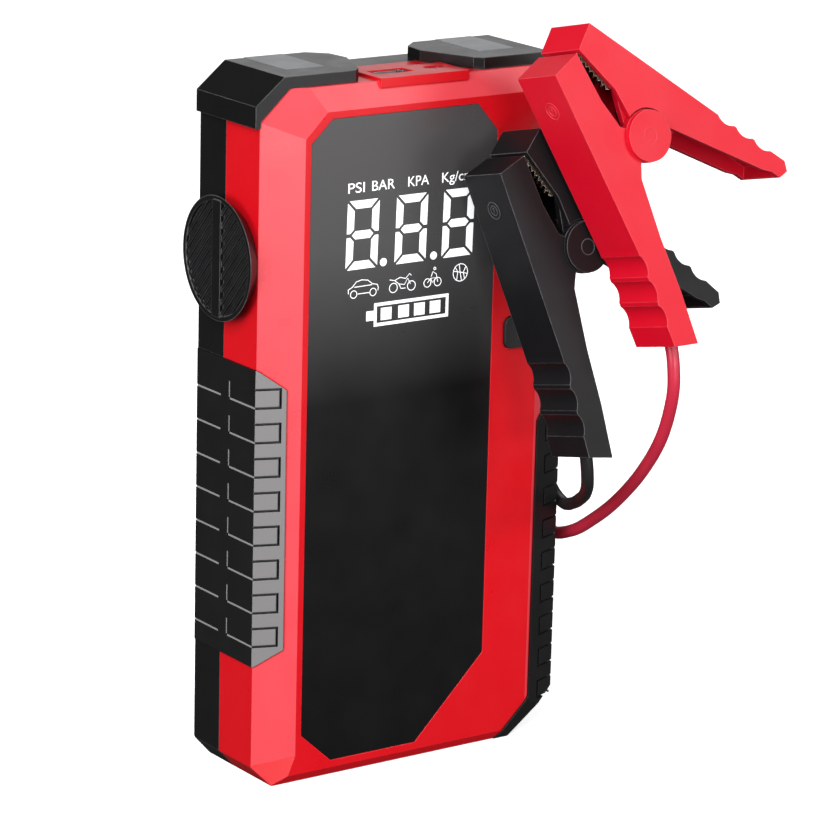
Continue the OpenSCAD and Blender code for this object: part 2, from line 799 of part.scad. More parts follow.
module start_socket() color("#2b4fa0") difference() {
    box([half_w - socket_block[0], socket_y - socket_block[1] / 2, socket_z - socket_block[2] / 2],
        [half_w + 0.1, socket_y + socket_block[1] / 2, socket_z + socket_block[2] / 2]);
    for (y = contact_y) {
        rod_x(half_w - 11.5, half_w + past, barrel_r + run_gap, [y, socket_z]);
        rod_x(half_w - socket_block[0] - past, half_w, contact_r, [y, socket_z]);
    }
}

module socket_pins() color(brass) for (y = contact_y)
    rod_x(half_w - socket_block[0] - 3, half_w - 1.5, contact_r, [y, socket_z]);

module plug_housing() color(black) {
    difference() {
        union() {
            prism_y(socket_y - socket_block[1] / 2, socket_y + socket_block[1] / 2)
                polygon([[plug_x, boot_top], [plug_x + plug_proud - 1.5, boot_top],
                         [plug_x + plug_proud, boot_top + 1.5], [plug_x + plug_proud, boot_top + plug_h - 5],
                         [plug_x + plug_proud - 5, boot_top + plug_h], [plug_x, boot_top + plug_h]]);
            for (y = contact_y) rod_x(half_w - 10.5, plug_x + 1, barrel_r, [y, socket_z]);
        }
        for (y = contact_y) rod_x(half_w - 11, plug_x + 6, contact_r + 0.7, [y, socket_z]);
    }
}

module plug_sleeves() color(brass) for (y = contact_y) translate([half_w - 10, y, socket_z])
    rotate([0, 90, 0]) ring_z(14, contact_r + 0.7, contact_r + run_gap);

module plug_boots() color("#19191a") for (y = contact_y)
    translate([boot_x, y, boot_top - boot_l])
        cylinder(h = boot_l, r1 = lead_d / 2 + 0.7, r2 = lead_d / 2 + 1.5);

function unit(v) = v / norm(v);

// Point on a smooth curve between p[i] and p[i + 1], at share u of the way
function curve_point(p, i, u) =
    let (n = len(p), b = p[i], c = p[i + 1],
         m0 = (i == 0 ? c - b : (c - p[i - 1]) / 2),
         m1 = (i == n - 2 ? c - b : (p[i + 2] - b) / 2))
    (2 * u^3 - 3 * u^2 + 1) * b + (u^3 - 2 * u^2 + u) * m0 + (3 * u^2 - 2 * u^3) * c + (u^3 - u^2) * m1;

function curve(p) =
    [for (i = [0 : len(p) - 2], u = [0, 0.5]) curve_point(p, i, u), p[len(p) - 1]];

// A round lead swept along its route
module lead(route) {
    sides = 10;
    points = curve(route);
    n = len(points);
    rings = [for (i = [0 : n - 1])
        let (t = unit(points[min(i + 1, n - 1)] - points[max(i - 1, 0)]),
             across = unit([1, 0, 0] - t[0] * t), over = cross(t, across))
        for (k = [0 : sides - 1])
            points[i] + lead_d / 2 * (cos(360 * k / sides) * across + sin(360 * k / sides) * over)];
    walls = [for (i = [0 : n - 2], k = [0 : sides - 1])
        let (a = i * sides + k, b = i * sides + (k + 1) % sides) [a, a + sides, b + sides, b]];
    caps = [[for (k = [0 : sides - 1]) k], [for (k = [0 : sides - 1]) n * sides - 1 - k]];
    polyhedron(rings, concat(walls, caps));
}

// A route carried on through the handle of its clamp
function to_handle(route, pivot, turn) =
    concat(route, [for (p = hand_route) at_clamp(p, pivot, turn)]);

module red_lead() color("#e0283c") lead(to_handle(red_route, red_pivot, red_turn));

module black_lead() color("#1d1d1e") lead(to_handle(black_route, black_pivot, black_turn));

// ---------- clamps, drawn flat about their pivot ----------

// Way of a lead up through its handle to the crimp, in the clamp's own plane
hand_route = [[8.2, -62], [5.4, -52.5], [-0.4, -37.3], [-5, -26.9], [-9, -17.7]];

// Place in the pack of a point in a clamp's plane
function at_clamp(p, pivot, turn) =
    let (q = [p[0] * cos(turn) - p[1] * sin(turn), p[0] * sin(turn) + p[1] * cos(turn)])
    pivot + [q[0], q[1] * sin(clamp_lean), q[1] * cos(clamp_lean)];

module place_clamp(pivot, turn) {
    translate(pivot) rotate([90 - clamp_lean, 0, 0]) rotate([0, 0, turn]) children();
}

module slab(t, outline) {
    translate([0, 0, -t / 2]) linear_extrude(t) polygon(outline);
}

// Lower half, counter-clockwise from the tail's outer corner
lower_outline = [
    [2.6, -63.5], [11.4, -63.5], [6.9, -47.3], [1.3, -30.8], [-3.7, -12.6], [-3.3, -8.1], [0, 0],
    [-9.8, 3.6], [-15.9, 12.1], [-23.1, 26.4], [-31.6, 20.7], [-7.8, -33.6]
];
lower_channel = [
    [2.6, -63.5], [22, -63.5], [22, 0], [-5, 22], [-14, 32.5], [-31.6, 20.7], [-7.8, -33.6]
];
upper_outline = [
    [-17.3, 34.9], [-22.1, 27.5], [-10.1, 14.6], [-4, 3], [4, 0], [8.8, 1.6], [43.1, -14.3],
    [46.3, -15.2], [49.2, -17.2], [52.2, -15.6], [51.6, -12.3], [26.4, 4.7]
];
upper_channel = [
    [-17.3, 34.9], [-28, 18.4], [-12, -12], [40, -30], [49, -26], [51.6, -12.3], [26.4, 4.7]
];

// Three hollows for the fingers along a handle's outer edge from a to b; side is 1 when the
// outside lies to the left of that way
module finger_scallops(a, b, side) {
    scallop_r = 6;
    depth = 1.1;
    d = (b - a) / norm(b - a);
    for (share = [0.16, 0.42, 0.68])
        translate(concat(a + (b - a) * share + side * (scallop_r - depth) * [-d[1], d[0]], [-clamp_t]))
            cylinder(h = 2 * clamp_t, r = scallop_r);
}

module clamp_lower_shell() {
    flange_in = clamp_t / 2 - clamp_wall;
    lead_gap = 0.45;
    difference() {
        union() {
            slab(clamp_t, lower_outline);
            for (s = [-1, 1]) translate([0, 0, s * (clamp_t - clamp_wall) / 2 - clamp_wall / 2])
                cylinder(h = clamp_wall, r = ear_r);
        }
        slab(2 * flange_in, inset(lower_channel, clamp_wall));
        finger_scallops([-7.8, -33.6], [2.6, -63.5], -1);
        // hole for the lead in the end wall
        translate(concat(hand_route[0], [0])) rotate([-90, 0, 0])
            cylinder(h = 3 * clamp_wall, r = lead_d / 2 + lead_gap, center = true);
        translate([0, 0, -clamp_t]) cylinder(h = 2 * clamp_t, r = pivot_r + run_gap);
    }
}

module clamp_upper_shell() {
    flange_in = clamp_t / 2 - clamp_wall;
    ear_out = flange_in - ear_gap;
    difference() {
        union() {
            difference() {
                slab(clamp_t, upper_outline);
                slab(2 * flange_in, inset(upper_channel, clamp_wall));
                translate([0, 0, -clamp_t]) cylinder(h = 2 * clamp_t, r = ear_r + 0.5);
            }
            // inner ears that carry the upper half on the pin
            for (s = [-1, 1]) translate([0, 0, s * (ear_out - 1)]) {
                translate([0, 0, -1]) cylinder(h = 2, r = 6.5);
                translate([0, 0, -1]) linear_extrude(2)
                    polygon([[-6, 2], [6, -2], [13, 0.5], [22, 5], [0, 20], [-9, 15.5]]);
                translate([0, 0, s * (1 + ear_gap / 2) - 0.3]) linear_extrude(0.6)
                    polygon([[11, 2.2], [22, 4.5], [0, 19.5], [-7.5, 14], [-5, 9], [0, 10.5], [8.5, 6.5]]);
            }
        }
        finger_scallops([26.4, 4.7], [51.6, -12.3], 1);
        translate([0, 0, -clamp_t]) cylinder(h = 2 * clamp_t, r = pivot_r + run_gap);
    }
}

// Row of teeth along a line from a to b, standing out by h to its left
function teeth(a, b, n, h) =
    let (d = (b - a) / n, up = unit([-d[1], d[0]]) * h)
    [for (i = [0 : n - 1], k = [0, 1]) a + d * (i + k / 2) + up * k];

module jaw_sides(outline, z_out) {
    for (s = [-1, 1]) translate([0, 0, s * (z_out - 0.5) - 0.5]) linear_extrude(1) polygon(outline);
}

module clamp_jaw_lower() {
    out = clamp_t / 2 - clamp_wall - 0.1;
    jaw_sides(concat([[-28.5, 19.5], [-20.9, 2.4], [-14.4, 9]], teeth([-14.9, 10], [-21.8, 23.8], 7, -0.9),
        [[-22.9, 23.4]]), out);
    // base strip along the inside of the web, down to the crimp
    translate([0, 0, -out]) linear_extrude(2 * out)
        polygon([[-28.6, 19.3], [-9.2, -25.1], [-8.2, -24.7], [-27.6, 19.7]]);
    // crimp barrel around the end of the lead
    end = hand_route[len(hand_route) - 1];
    run = unit(end - hand_route[len(hand_route) - 2]);
    translate(concat(end - 8 * run, [0])) rotate([0, 0, atan2(run[1], run[0])]) rotate([0, 90, 0])
        difference() {
            cylinder(h = 9.5, r = lead_d / 2 + 1.1);
            translate([0, 0, -1]) cylinder(h = 9, r = lead_d / 2 + 0.05);
        }
}

module clamp_jaw_upper() {
    out = clamp_t / 2 - clamp_wall - ear_gap - 2.2;
    jaw_sides(concat([[-16.5, 30.8], [-19.2, 27.3]], teeth([-19.9, 25.8], [-10.6, 15.8], 7, -1.0),
        [[-9.6, 15.6], [-4.5, 22.2]]), out);
    translate([0, 0, -out]) linear_extrude(2 * out)
        polygon([[-16.4, 31.6], [-16.9, 30.9], [25.2, 1.75], [25.7, 2.5]]);
}

module clamp_pin() cylinder(h = clamp_t - 0.2, r = pivot_r, center = true);

module clamp_caps() for (s = [-1, 1])
    translate([0, 0, s * (clamp_t / 2 + 0.75) - 0.75]) cylinder(h = 1.5, r = pivot_cap_r);

// Torsion spring: its coil as one ridged sleeve, and a leg into each half
module clamp_spring() {
    wire = 0.7;
    coil_r = 3.6;
    turns = 6;
    rotate_extrude() for (i = [0 : turns - 1])
        translate([coil_r, (i - (turns - 1) / 2) * 1.9 * wire]) circle(r = wire, $fn = 24);
    for (leg = [[200, -3.4], [108, 3.4]]) rotate([0, 0, leg[0]])
        translate([0, coil_r, leg[1]]) rotate([0, 90, 0]) cylinder(h = 10, r = wire - 0.05);
}

module red_clamp_lower() color(red) place_clamp(red_pivot, red_turn) clamp_lower_shell();
module red_clamp_upper() color(red) place_clamp(red_pivot, red_turn) clamp_upper_shell();
module red_jaw_lower() color(steel) place_clamp(red_pivot, red_turn) clamp_jaw_lower();
module red_jaw_upper() color(steel) place_clamp(red_pivot, red_turn) clamp_jaw_upper();
module red_pivot_pin() color(steel) place_clamp(red_pivot, red_turn) clamp_pin();
module red_pivot_caps() color(red) place_clamp(red_pivot, red_turn) clamp_caps();
module red_spring() color(steel) place_clamp(red_pivot, red_turn) clamp_spring();

module black_clamp_lower() color(black) place_clamp(black_pivot, black_turn) clamp_lower_shell();
module black_clamp_upper() color(black) place_clamp(black_pivot, black_turn) clamp_upper_shell();
module black_jaw_lower() color(steel) place_clamp(black_pivot, black_turn) clamp_jaw_lower();
module black_jaw_upper() color(steel) place_clamp(black_pivot, black_turn) clamp_jaw_upper();
module black_pivot_pin() color(steel) place_clamp(black_pivot, black_turn) clamp_pin();
module black_pivot_caps() color(black) place_clamp(black_pivot, black_turn) clamp_caps();
module black_spring() color(steel) place_clamp(black_pivot, black_turn) clamp_spring();

module shell_screws() color("#3c3d40") screw_places() {
    rod_y(seam_y - screw_reach + 0.5, back_y - screw_sink - 0.5, screw_r);
    difference() {
        rod_y(back_y - screw_sink - screw_head_t, back_y - screw_sink, screw_head_r);
        for (a = [0, 90]) rotate([0, a, 0])
            box([-1.6, back_y - screw_sink - 0.8, -0.35], [1.6, back_y, 0.35]);
    }
}

front_frame();
rear_shell();
face_panel();
display_module();
left_grip();
right_grip();
corner_bumper_left();
corner_bumper_right();
lamp_lens_left();
lamp_lens_right();
lamp_boards();
usb_a_socket();
usb_a_tongue();
usb_c_socket();
usb_c_tongue();
button_top();
button_middle();
button_bottom();
button_switches();
main_board();
battery_cell_front();
battery_cell_middle();
battery_cell_back();
battery_tray();
battery_board();
pump_motor();
motor_shaft();
pinion();
crank_gear();
gear_axle();
pump_housing();
pump_piston();
connecting_rod();
air_nozzle();
port_ring();
air_cap();
nozzle_seal();
start_socket();
socket_pins();
plug_housing();
plug_sleeves();
plug_boots();
red_lead();
black_lead();
red_clamp_lower();
red_clamp_upper();
red_jaw_lower();
red_jaw_upper();
red_pivot_pin();
red_pivot_caps();
red_spring();
black_clamp_lower();
black_clamp_upper();
black_jaw_lower();
black_jaw_upper();
black_pivot_pin();
black_pivot_caps();
black_spring();
shell_screws();
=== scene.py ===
"""Looks of a jump starter pack: finishes, printed display, leads, springs and moulded marks."""

import json
import logging
import math
from dataclasses import dataclass
from enum import Enum

import bpy
from mathutils import Matrix, Vector

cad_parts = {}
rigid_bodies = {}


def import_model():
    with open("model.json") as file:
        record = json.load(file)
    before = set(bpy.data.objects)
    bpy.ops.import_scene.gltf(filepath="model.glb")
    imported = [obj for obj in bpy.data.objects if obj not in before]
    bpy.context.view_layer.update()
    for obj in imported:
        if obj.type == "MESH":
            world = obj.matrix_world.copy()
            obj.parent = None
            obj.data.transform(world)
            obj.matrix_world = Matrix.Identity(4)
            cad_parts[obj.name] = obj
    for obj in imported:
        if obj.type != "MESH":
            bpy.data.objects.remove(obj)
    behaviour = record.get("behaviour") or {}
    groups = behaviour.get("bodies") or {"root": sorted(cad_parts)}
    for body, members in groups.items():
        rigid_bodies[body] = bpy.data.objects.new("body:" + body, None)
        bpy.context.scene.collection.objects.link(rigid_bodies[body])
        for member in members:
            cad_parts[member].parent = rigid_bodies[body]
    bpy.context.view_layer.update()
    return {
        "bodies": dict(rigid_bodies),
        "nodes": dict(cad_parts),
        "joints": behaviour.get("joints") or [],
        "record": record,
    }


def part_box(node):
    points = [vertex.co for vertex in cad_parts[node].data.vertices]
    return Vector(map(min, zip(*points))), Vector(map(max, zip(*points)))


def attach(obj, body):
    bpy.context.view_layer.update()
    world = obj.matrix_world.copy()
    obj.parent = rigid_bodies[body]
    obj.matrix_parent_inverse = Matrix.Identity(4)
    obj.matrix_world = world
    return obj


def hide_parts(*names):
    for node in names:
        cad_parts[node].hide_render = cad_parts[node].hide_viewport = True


LOG = logging.getLogger("jump_starter_pack")
MM = 0.001
Point = tuple[float, float]
Point3 = tuple[float, float, float]


# ---------- helpers ----------


def hex_to_linear(code: str) -> tuple[float, float, float, float]:
    """Turns an sRGB hex colour to linear light.

    Args:
        code: a colour such as "#d41e24".

    Returns:
        Red, green, blue and an alpha of 1.
    """
    values = [int(code[i : i + 2], 16) / 255 for i in (1, 3, 5)]
    linear = [v / 12.92 if v <= 0.04045 else ((v + 0.055) / 1.055) ** 2.4 for v in values]
    return (*linear, 1.0)


def add_node(
    tree: bpy.types.NodeTree, kind: str, settings: dict | None = None, **links: object
) -> bpy.types.Node:
    """Adds a node, sets its fields and plain inputs, and links the rest.

    Args:
        tree: the node tree to add to.
        kind: the node's type, such as "ShaderNodeTexNoise".
        settings: attributes of the node, and input values by name or index under "inputs".
        **links: output sockets by the input they feed, with underscores for spaces.

    Returns:
        The new node.
    """
    node = tree.nodes.new(kind)
    for key, value in (settings or {}).items():
        if key == "inputs":
            for socket, number in value.items():
                node.inputs[socket].default_value = number
        else:
            setattr(node, key, value)
    for key, output in links.items():
        name: str | int = int(key[1:]) if key[0] == "i" and key[1:].isdigit() else key.replace("_", " ")
        tree.links.new(output, node.inputs[name])
    return node


def clear_selection() -> None:
    """Leaves edit mode and deselects everything."""
    if bpy.context.object and bpy.context.object.mode != "OBJECT":
        bpy.ops.object.mode_set(mode="OBJECT")
    bpy.ops.object.select_all(action="DESELECT")


def settle(piece: bpy.types.Object, name: str) -> bpy.types.Object:
    """Makes the object a mesh, moves its place into the mesh and names it.

    Args:
        piece: the object that was just made.
        name: its name in the model.

    Returns:
        The same object, at the origin, unturned and unscaled.
    """
    clear_selection()
    piece.select_set(True)
    bpy.context.view_layer.objects.active = piece
    if piece.type != "MESH":
        bpy.ops.object.convert(target="MESH")
        piece = bpy.context.view_layer.objects.active
    bpy.ops.object.transform_apply(location=True, rotation=True, scale=True)
    piece.name = name
    piece.data.name = name
    return piece


def join(pieces: list[bpy.types.Object], name: str) -> bpy.types.Object:
    """Joins meshes to one piece of that name."""
    clear_selection()
    for piece in pieces:
        piece.select_set(True)
    bpy.context.view_layer.objects.active = pieces[0]
    if len(pieces) > 1:
        bpy.ops.object.join()
    return settle(bpy.context.view_layer.objects.active, name)


def cut_sheet(
    outlines: list[list[Point]], thickness: float, place: Matrix, name: str
) -> bpy.types.Object:
    """Makes a flat sheet from closed outlines.

    Args:
        outlines: closed outlines in millimetres; one inside another is a hole.
        thickness: the sheet's thickness in metres, half to each side of its plane.
        place: where its plane stands in the pack, in metres.
        name: the piece's name.

    Returns:
        The sheet as one mesh.
    """
    curve = bpy.data.curves.new(name, "CURVE")
    curve.dimensions = "2D"
    curve.fill_mode = "BOTH"
    curve.extrude = thickness / 2
    for outline in outlines:
        spline = curve.splines.new("POLY")
        spline.points.add(len(outline) - 1)
        for point, (x, y) in zip(spline.points, outline):
            point.co = (x * MM, y * MM, 0, 1)
        spline.use_cyclic_u = True
    piece = bpy.data.objects.new(name, curve)
    bpy.context.collection.objects.link(piece)
    piece.matrix_world = place
    return settle(piece, name)


# ---------- finishes ----------


class Process(Enum):
    """How a surface was made, which sets the form of its fine relief."""

    MOULDED = "moulded"
    BRUSHED = "brushed"
    PRISMATIC = "prismatic"
    POLISHED = "polished"


# A face's normal along Z, from where the painted reflection on front faces starts to where it is full
LEVEL_NORMAL = (-0.15, -0.1)
# Share of open air around a point, from the floor of a groove to a free face
AIR_SHARE = (0.72, 0.9)
# The corner facet's normal along Z, and how far from it a face still counts as the facet
FACET_LEAN = 0.157
FACET_BAND = 0.03
# How many times longer than wide a brushed scratch is
BRUSH_DRAW = 20


@dataclass(frozen=True)
class Finish:
    """One real material, how its surface was made, and any painted reflection or highlight on it."""

    name: str
    colour: str
    shade: str
    roughness: float
    process: Process = Process.MOULDED
    spread: float = 0.06
    grain: float = 0.5
    relief: float = 0.02
    metallic: float = 0.0
    ior: float = 1.5
    coat: float = 0.0
    edge: float = 0.35
    # edges lightened in this colour: partly wear, partly a painted highlight
    edge_wear_and_highlight_colour: str = ""
    emission: float = 0.0
    # a painted reflection on faces that look forward, and the range of their normals it covers
    front_reflection_colour: str = ""
    front_reflection_reach: Point = (0.8, 1.1)
    # a painted reflection towards the top, and the heights in mm over which it fades in
    top_reflection_colour: str = ""
    reflection_fade: Point = (118.0, 166.0)

    def material(self) -> bpy.types.Material:
        """Builds the finish as nodes.

        Returns:
            The material, made once and then reused.
        """
        made = bpy.data.materials.get(self.name)
        if made:
            return made
        material = bpy.data.materials.new(self.name)
        material.use_nodes = True
        tree = material.node_tree
        tree.nodes.clear()
        place = add_node(tree, "ShaderNodeTexCoord").outputs["Object"]
        # broad unevenness of colour, over about 30 mm
        broad = add_node(
            tree, "ShaderNodeTexNoise", {"inputs": {"Scale": 33.0, "Detail": 3.0}}, Vector=place
        ).outputs["Fac"]
        tint = add_node(
            tree,
            "ShaderNodeMix",
            {
                "data_type": "RGBA",
                "inputs": {6: hex_to_linear(self.colour), 7: hex_to_linear(self.shade)},
            },
            i0=broad,
        ).outputs[2]
        soft_edge = add_node(
            tree, "ShaderNodeBevel", {"samples": 4, "inputs": {"Radius": self.edge * MM}}
        ).outputs["Normal"]
        # edges lightened: rubbed wear with a painted highlight
        if self.edge_wear_and_highlight_colour:
            tint = self.wear_and_highlight_edges(tree, tint, soft_edge, place)
        # painted reflection on the faces that look forward
        if self.front_reflection_colour:
            tint = self.paint_front_reflection(tree, tint)
        # painted reflection: paler towards the top, fading in between two heights
        if self.top_reflection_colour:
            height = add_node(tree, "ShaderNodeSeparateXYZ", Vector=place).outputs["Z"]
            low, high = self.reflection_fade
            tint = add_node(
                tree,
                "ShaderNodeMix",
                {"data_type": "RGBA", "inputs": {7: hex_to_linear(self.top_reflection_colour)}},
                i0=self.between(tree, height, low * MM, high * MM),
                i6=tint,
            ).outputs[2]
        height = self.texture(tree, place)
        normal = add_node(
            tree,
            "ShaderNodeBump",
            {"inputs": {"Strength": 1.0, "Distance": self.relief * MM}},
            Height=height,
            Normal=soft_edge,
        ).outputs["Normal"]
        smudge = add_node(
            tree, "ShaderNodeTexNoise", {"inputs": {"Scale": 90.0, "Detail": 4.0}}, Vector=place
        ).outputs["Fac"]
        rough = add_node(
            tree,
            "ShaderNodeMapRange",
            {
                "inputs": {
                    "From Min": 0.3,
                    "From Max": 0.7,
                    "To Min": max(0.02, self.roughness - self.spread),
                    "To Max": self.roughness + self.spread,
                }
            },
            Value=smudge,
        ).outputs["Result"]
        shader = add_node(
            tree,
            "ShaderNodeBsdfPrincipled",
            {
                "inputs": {
                    "Metallic": self.metallic,
                    "IOR": self.ior,
                    "Coat Weight": self.coat,
                    "Coat Roughness": 0.08,
                    "Emission Color": hex_to_linear(self.colour),
                    "Emission Strength": self.emission,
                }
            },
            Base_Color=tint,
            Roughness=rough,
            Normal=normal,
        )
        add_node(tree, "ShaderNodeOutputMaterial", Surface=shader.outputs["BSDF"])
        return material

    def wear_and_highlight_edges(
        self,
        tree: bpy.types.NodeTree,
        tint: bpy.types.NodeSocket,
        soft_edge: bpy.types.NodeSocket,
        place: bpy.types.NodeSocket,
    ) -> bpy.types.NodeSocket:
        """Lightens the edges: partly the wear that hands and bags rub in, partly a painted highlight.

        Args:
            tree: the material's nodes.
            tint: the colour so far.
            soft_edge: the rounded normal.
            place: object coordinates.

        Returns:
            The colour with worn edges and a painted edge highlight.
        """
        flat = add_node(tree, "ShaderNodeNewGeometry").outputs["Normal"]
        turn = add_node(
            tree, "ShaderNodeVectorMath", {"operation": "DOT_PRODUCT"}, i0=soft_edge, i1=flat
        ).outputs["Value"]
        band = add_node(
            tree,
            "ShaderNodeMapRange",
            {"inputs": {"From Min": 0.995, "From Max": 0.9, "To Min": 0.0, "To Max": 0.75}},
            Value=turn,
        ).outputs["Result"]
        broken = add_node(
            tree, "ShaderNodeTexNoise", {"inputs": {"Scale": 260.0, "Detail": 5.0}}, Vector=place
        ).outputs["Fac"]
        share = add_node(
            tree, "ShaderNodeMath", {"operation": "MULTIPLY"}, i0=band, i1=broken
        ).outputs["Value"]
        return add_node(
            tree,
            "ShaderNodeMix",
            {"data_type": "RGBA", "inputs": {7: hex_to_linear(self.edge_wear_and_highlight_colour)}},
            i0=share,
            i6=tint,
        ).outputs[2]

    @staticmethod
    def between(
        tree: bpy.types.NodeTree, value: bpy.types.NodeSocket, none: float, full: float
    ) -> bpy.types.NodeSocket:
        """Turns a value to a mask from 0 at one value to 1 at another."""
        return add_node(
            tree,
            "ShaderNodeMapRange",
            {"inputs": {"From Min": none, "From Max": full}},
            Value=value,
        ).outputs["Result"]

    def paint_front_reflection(
        self, tree: bpy.types.NodeTree, tint: bpy.types.NodeSocket
    ) -> bpy.types.NodeSocket:
        """Paints a reflection on the faces that look forward and leaves grooves between them in the plain
        colour.

        Args:
            tree: the material's nodes.
            tint: the colour so far.

        Returns:
            The colour with a painted reflection on the front faces.
        """
        normal = add_node(tree, "ShaderNodeNewGeometry").outputs["Normal"]
        parts = add_node(tree, "ShaderNodeSeparateXYZ", Vector=normal).outputs
        least, most = self.front_reflection_reach
        faces = self.between(tree, parts["Y"], -least, -least - 0.02)
        level = self.between(tree, parts["Y"], -most, -most + 0.01)
        upward = self.between(tree, parts["Z"], *LEVEL_NORMAL)
        # a groove sees its own walls within a millimetre, a face sees open air: the painted reflection keeps
        # to open faces
        open_air = add_node(
            tree, "ShaderNodeAmbientOcclusion", {"samples": 8, "inputs": {"Distance": 0.9 * MM}}
        ).outputs["AO"]
        share = self.between(tree, open_air, *AIR_SHARE)
        # the corner facet under the left bevel leans up a little and keeps the plain colour
        facet = add_node(
            tree,
            "ShaderNodeMath",
            {"operation": "COMPARE", "inputs": {1: FACET_LEAN, 2: FACET_BAND}},
            i0=parts["Z"],
        ).outputs["Value"]
        plain = self.between(tree, facet, 1.0, 0.0)
        for mask in (faces, level, upward, plain):
            share = add_node(
                tree, "ShaderNodeMath", {"operation": "MULTIPLY"}, i0=share, i1=mask
            ).outputs["Value"]
        return add_node(
            tree,
            "ShaderNodeMix",
            {"data_type": "RGBA", "inputs": {7: hex_to_linear(self.front_reflection_colour)}},
            i0=share,
            i6=tint,
        ).outputs[2]

    def texture(
        self, tree: bpy.types.NodeTree, place: bpy.types.NodeSocket
    ) -> bpy.types.NodeSocket:
        """Makes the height of the surface's own relief.

        Args:
            tree: the material's nodes.
            place: object coordinates.

        Returns:
            A height socket, about 0 to 1.
        """
        scale = 1 / (self.grain * MM)
        if self.process is Process.BRUSHED:
            # scratches run along X: the grain is drawn out that way
            drawn = add_node(
                tree,
                "ShaderNodeMapping",
                {"inputs": {"Scale": (scale / BRUSH_DRAW, scale, scale)}},
                Vector=place,
            ).outputs["Vector"]
            return add_node(
                tree, "ShaderNodeTexNoise", {"inputs": {"Scale": 1.0, "Detail": 2.0}}, Vector=drawn
            ).outputs["Fac"]
        if self.process is Process.PRISMATIC:
            return add_node(
                tree,
                "ShaderNodeTexVoronoi",
                {"distance": "CHEBYCHEV", "inputs": {"Scale": scale, "Randomness": 0.15}},
                Vector=place,
            ).outputs["Distance"]
        return add_node(
            tree, "ShaderNodeTexNoise", {"inputs": {"Scale": scale, "Detail": 2.0}}, Vector=place
        ).outputs["Fac"]


# moulded ABS in the pack's own red: satin, with the fine spark texture of the tool; a painted reflection
# makes its bevels paler, and its edges are lightened by wear and a painted highlight
RED_ABS = Finish(
    "moulded_abs_red", "#d20e1b", "#ca0d18", 0.32, ior=1.4, grain=0.6, relief=0.012, edge_wear_and_highlight_colour="#f2525c",
    front_reflection_colour="#dc454e", front_reflection_reach=(0.85, 0.98),
)
# moulded ABS in black: satin, its edges lightened to grey, partly by rubbed wear and partly by a painted
# highlight
BLACK_ABS = Finish(
    "moulded_abs_black", "#121213", "#0f0f10", 0.34, grain=0.6, relief=0.015,
    edge_wear_and_highlight_colour="#9a9a9c"
)
# cast acrylic over black print: flat, glossy, faintly smudged; a painted reflection makes it grey towards the
# top
PANEL_ACRYLIC = Finish(
    "acrylic_panel_black", "#0a0a0b", "#0c0c0d", 0.3, Process.POLISHED, 0.03, 4.0, 0.0, edge=0.2,
    top_reflection_colour="#484748",
)
# moulded TPE rubber: dull, with a coarser grain; the left grip's front face carries a painted reflection
GRIP_RUBBER = Finish("moulded_tpe_black", "#101011", "#151516", 0.42, grain=0.45, relief=0.02)
GRIP_RUBBER_PAINTED_REFLECTION = Finish(
    "moulded_tpe_painted_reflection", "#101011", "#151516", 0.42, grain=0.45, relief=0.02,
    front_reflection_colour="#797778"
)
# prismatic polycarbonate lens over the lamps: grey, broken into small cells
LAMP_LENS = Finish(
    "prismatic_polycarbonate", "#8e9195", "#73767a", 0.35, Process.PRISMATIC, 0.08, 1.1, 0.10,
    ior=1.58, coat=0.3
)
# white solder mask under the lamps
LAMP_BOARD = Finish("solder_mask_white", "#e8e8e0", "#dedfd6", 0.4)
# stamped and nickel plated steel of the socket shells
SOCKET_STEEL = Finish(
    "nickel_plated_steel", "#b9bbbf", "#a9abaf", 0.28, Process.BRUSHED, grain=0.25,
    relief=0.006, metallic=1.0
)
TONGUE_PLASTIC = Finish("moulded_lcp_white", "#d9dadb", "#cfd0d1", 0.45)
# soft-touch buttons: edges lightened by wear and a painted highlight
BUTTON_PLASTIC = Finish(
    "soft_touch_black", "#1e1e1f", "#242425", 0.5, grain=0.4, relief=0.015,
    edge_wear_and_highlight_colour="#505053"
)
# green fibreglass board under solder mask
CIRCUIT_BOARD = Finish("fibreglass_board_green", "#124d2b", "#0f4325", 0.3, grain=1.2, relief=0.02)
CELL_FOIL = Finish("laminated_cell_foil", "#9aa7bd", "#8f9cb3", 0.32, grain=2.5, relief=0.05, metallic=0.85)
TRAY_PLASTIC = Finish("moulded_pp_black", "#202022", "#1a1a1c", 0.48)
MOTOR_STEEL = Finish(
    "zinc_plated_steel", "#a7aaaf", "#999ca1", 0.3, Process.BRUSHED, grain=0.3, relief=0.008,
    metallic=1.0
)
BRASS = Finish(
    "turned_brass", "#c9a24a", "#bd953d", 0.26, Process.BRUSHED, grain=0.25, relief=0.006,
    metallic=1.0
)
GEAR_NYLON = Finish("moulded_nylon_natural", "#dcd6c0", "#d2ccb6", 0.42)
CAST_ALUMINIUM = Finish(
    "die_cast_aluminium", "#a9acb0", "#9b9ea2", 0.42, grain=0.7, relief=0.03, metallic=1.0
)
SEAL_RUBBER = Finish("moulded_nitrile_black", "#1d1d1d", "#232323", 0.6)
SOCKET_PLASTIC = Finish("moulded_nylon_blue", "#17407e", "#133870", 0.4)
# plug nylon: edges lightened by wear and a painted highlight
PLUG_PLASTIC = Finish(
    "moulded_nylon_black", "#1b1b1c", "#171718", 0.42, grain=0.5, relief=0.02,
    edge_wear_and_highlight_colour="#555558"
)
RED_SILICONE = Finish("silicone_sheath_red", "#c62a42", "#bc263d", 0.36, grain=1.4, relief=0.02)
BLACK_SILICONE = Finish("silicone_sheath_black", "#1c1c1d", "#202021", 0.42, grain=1.4, relief=0.02)
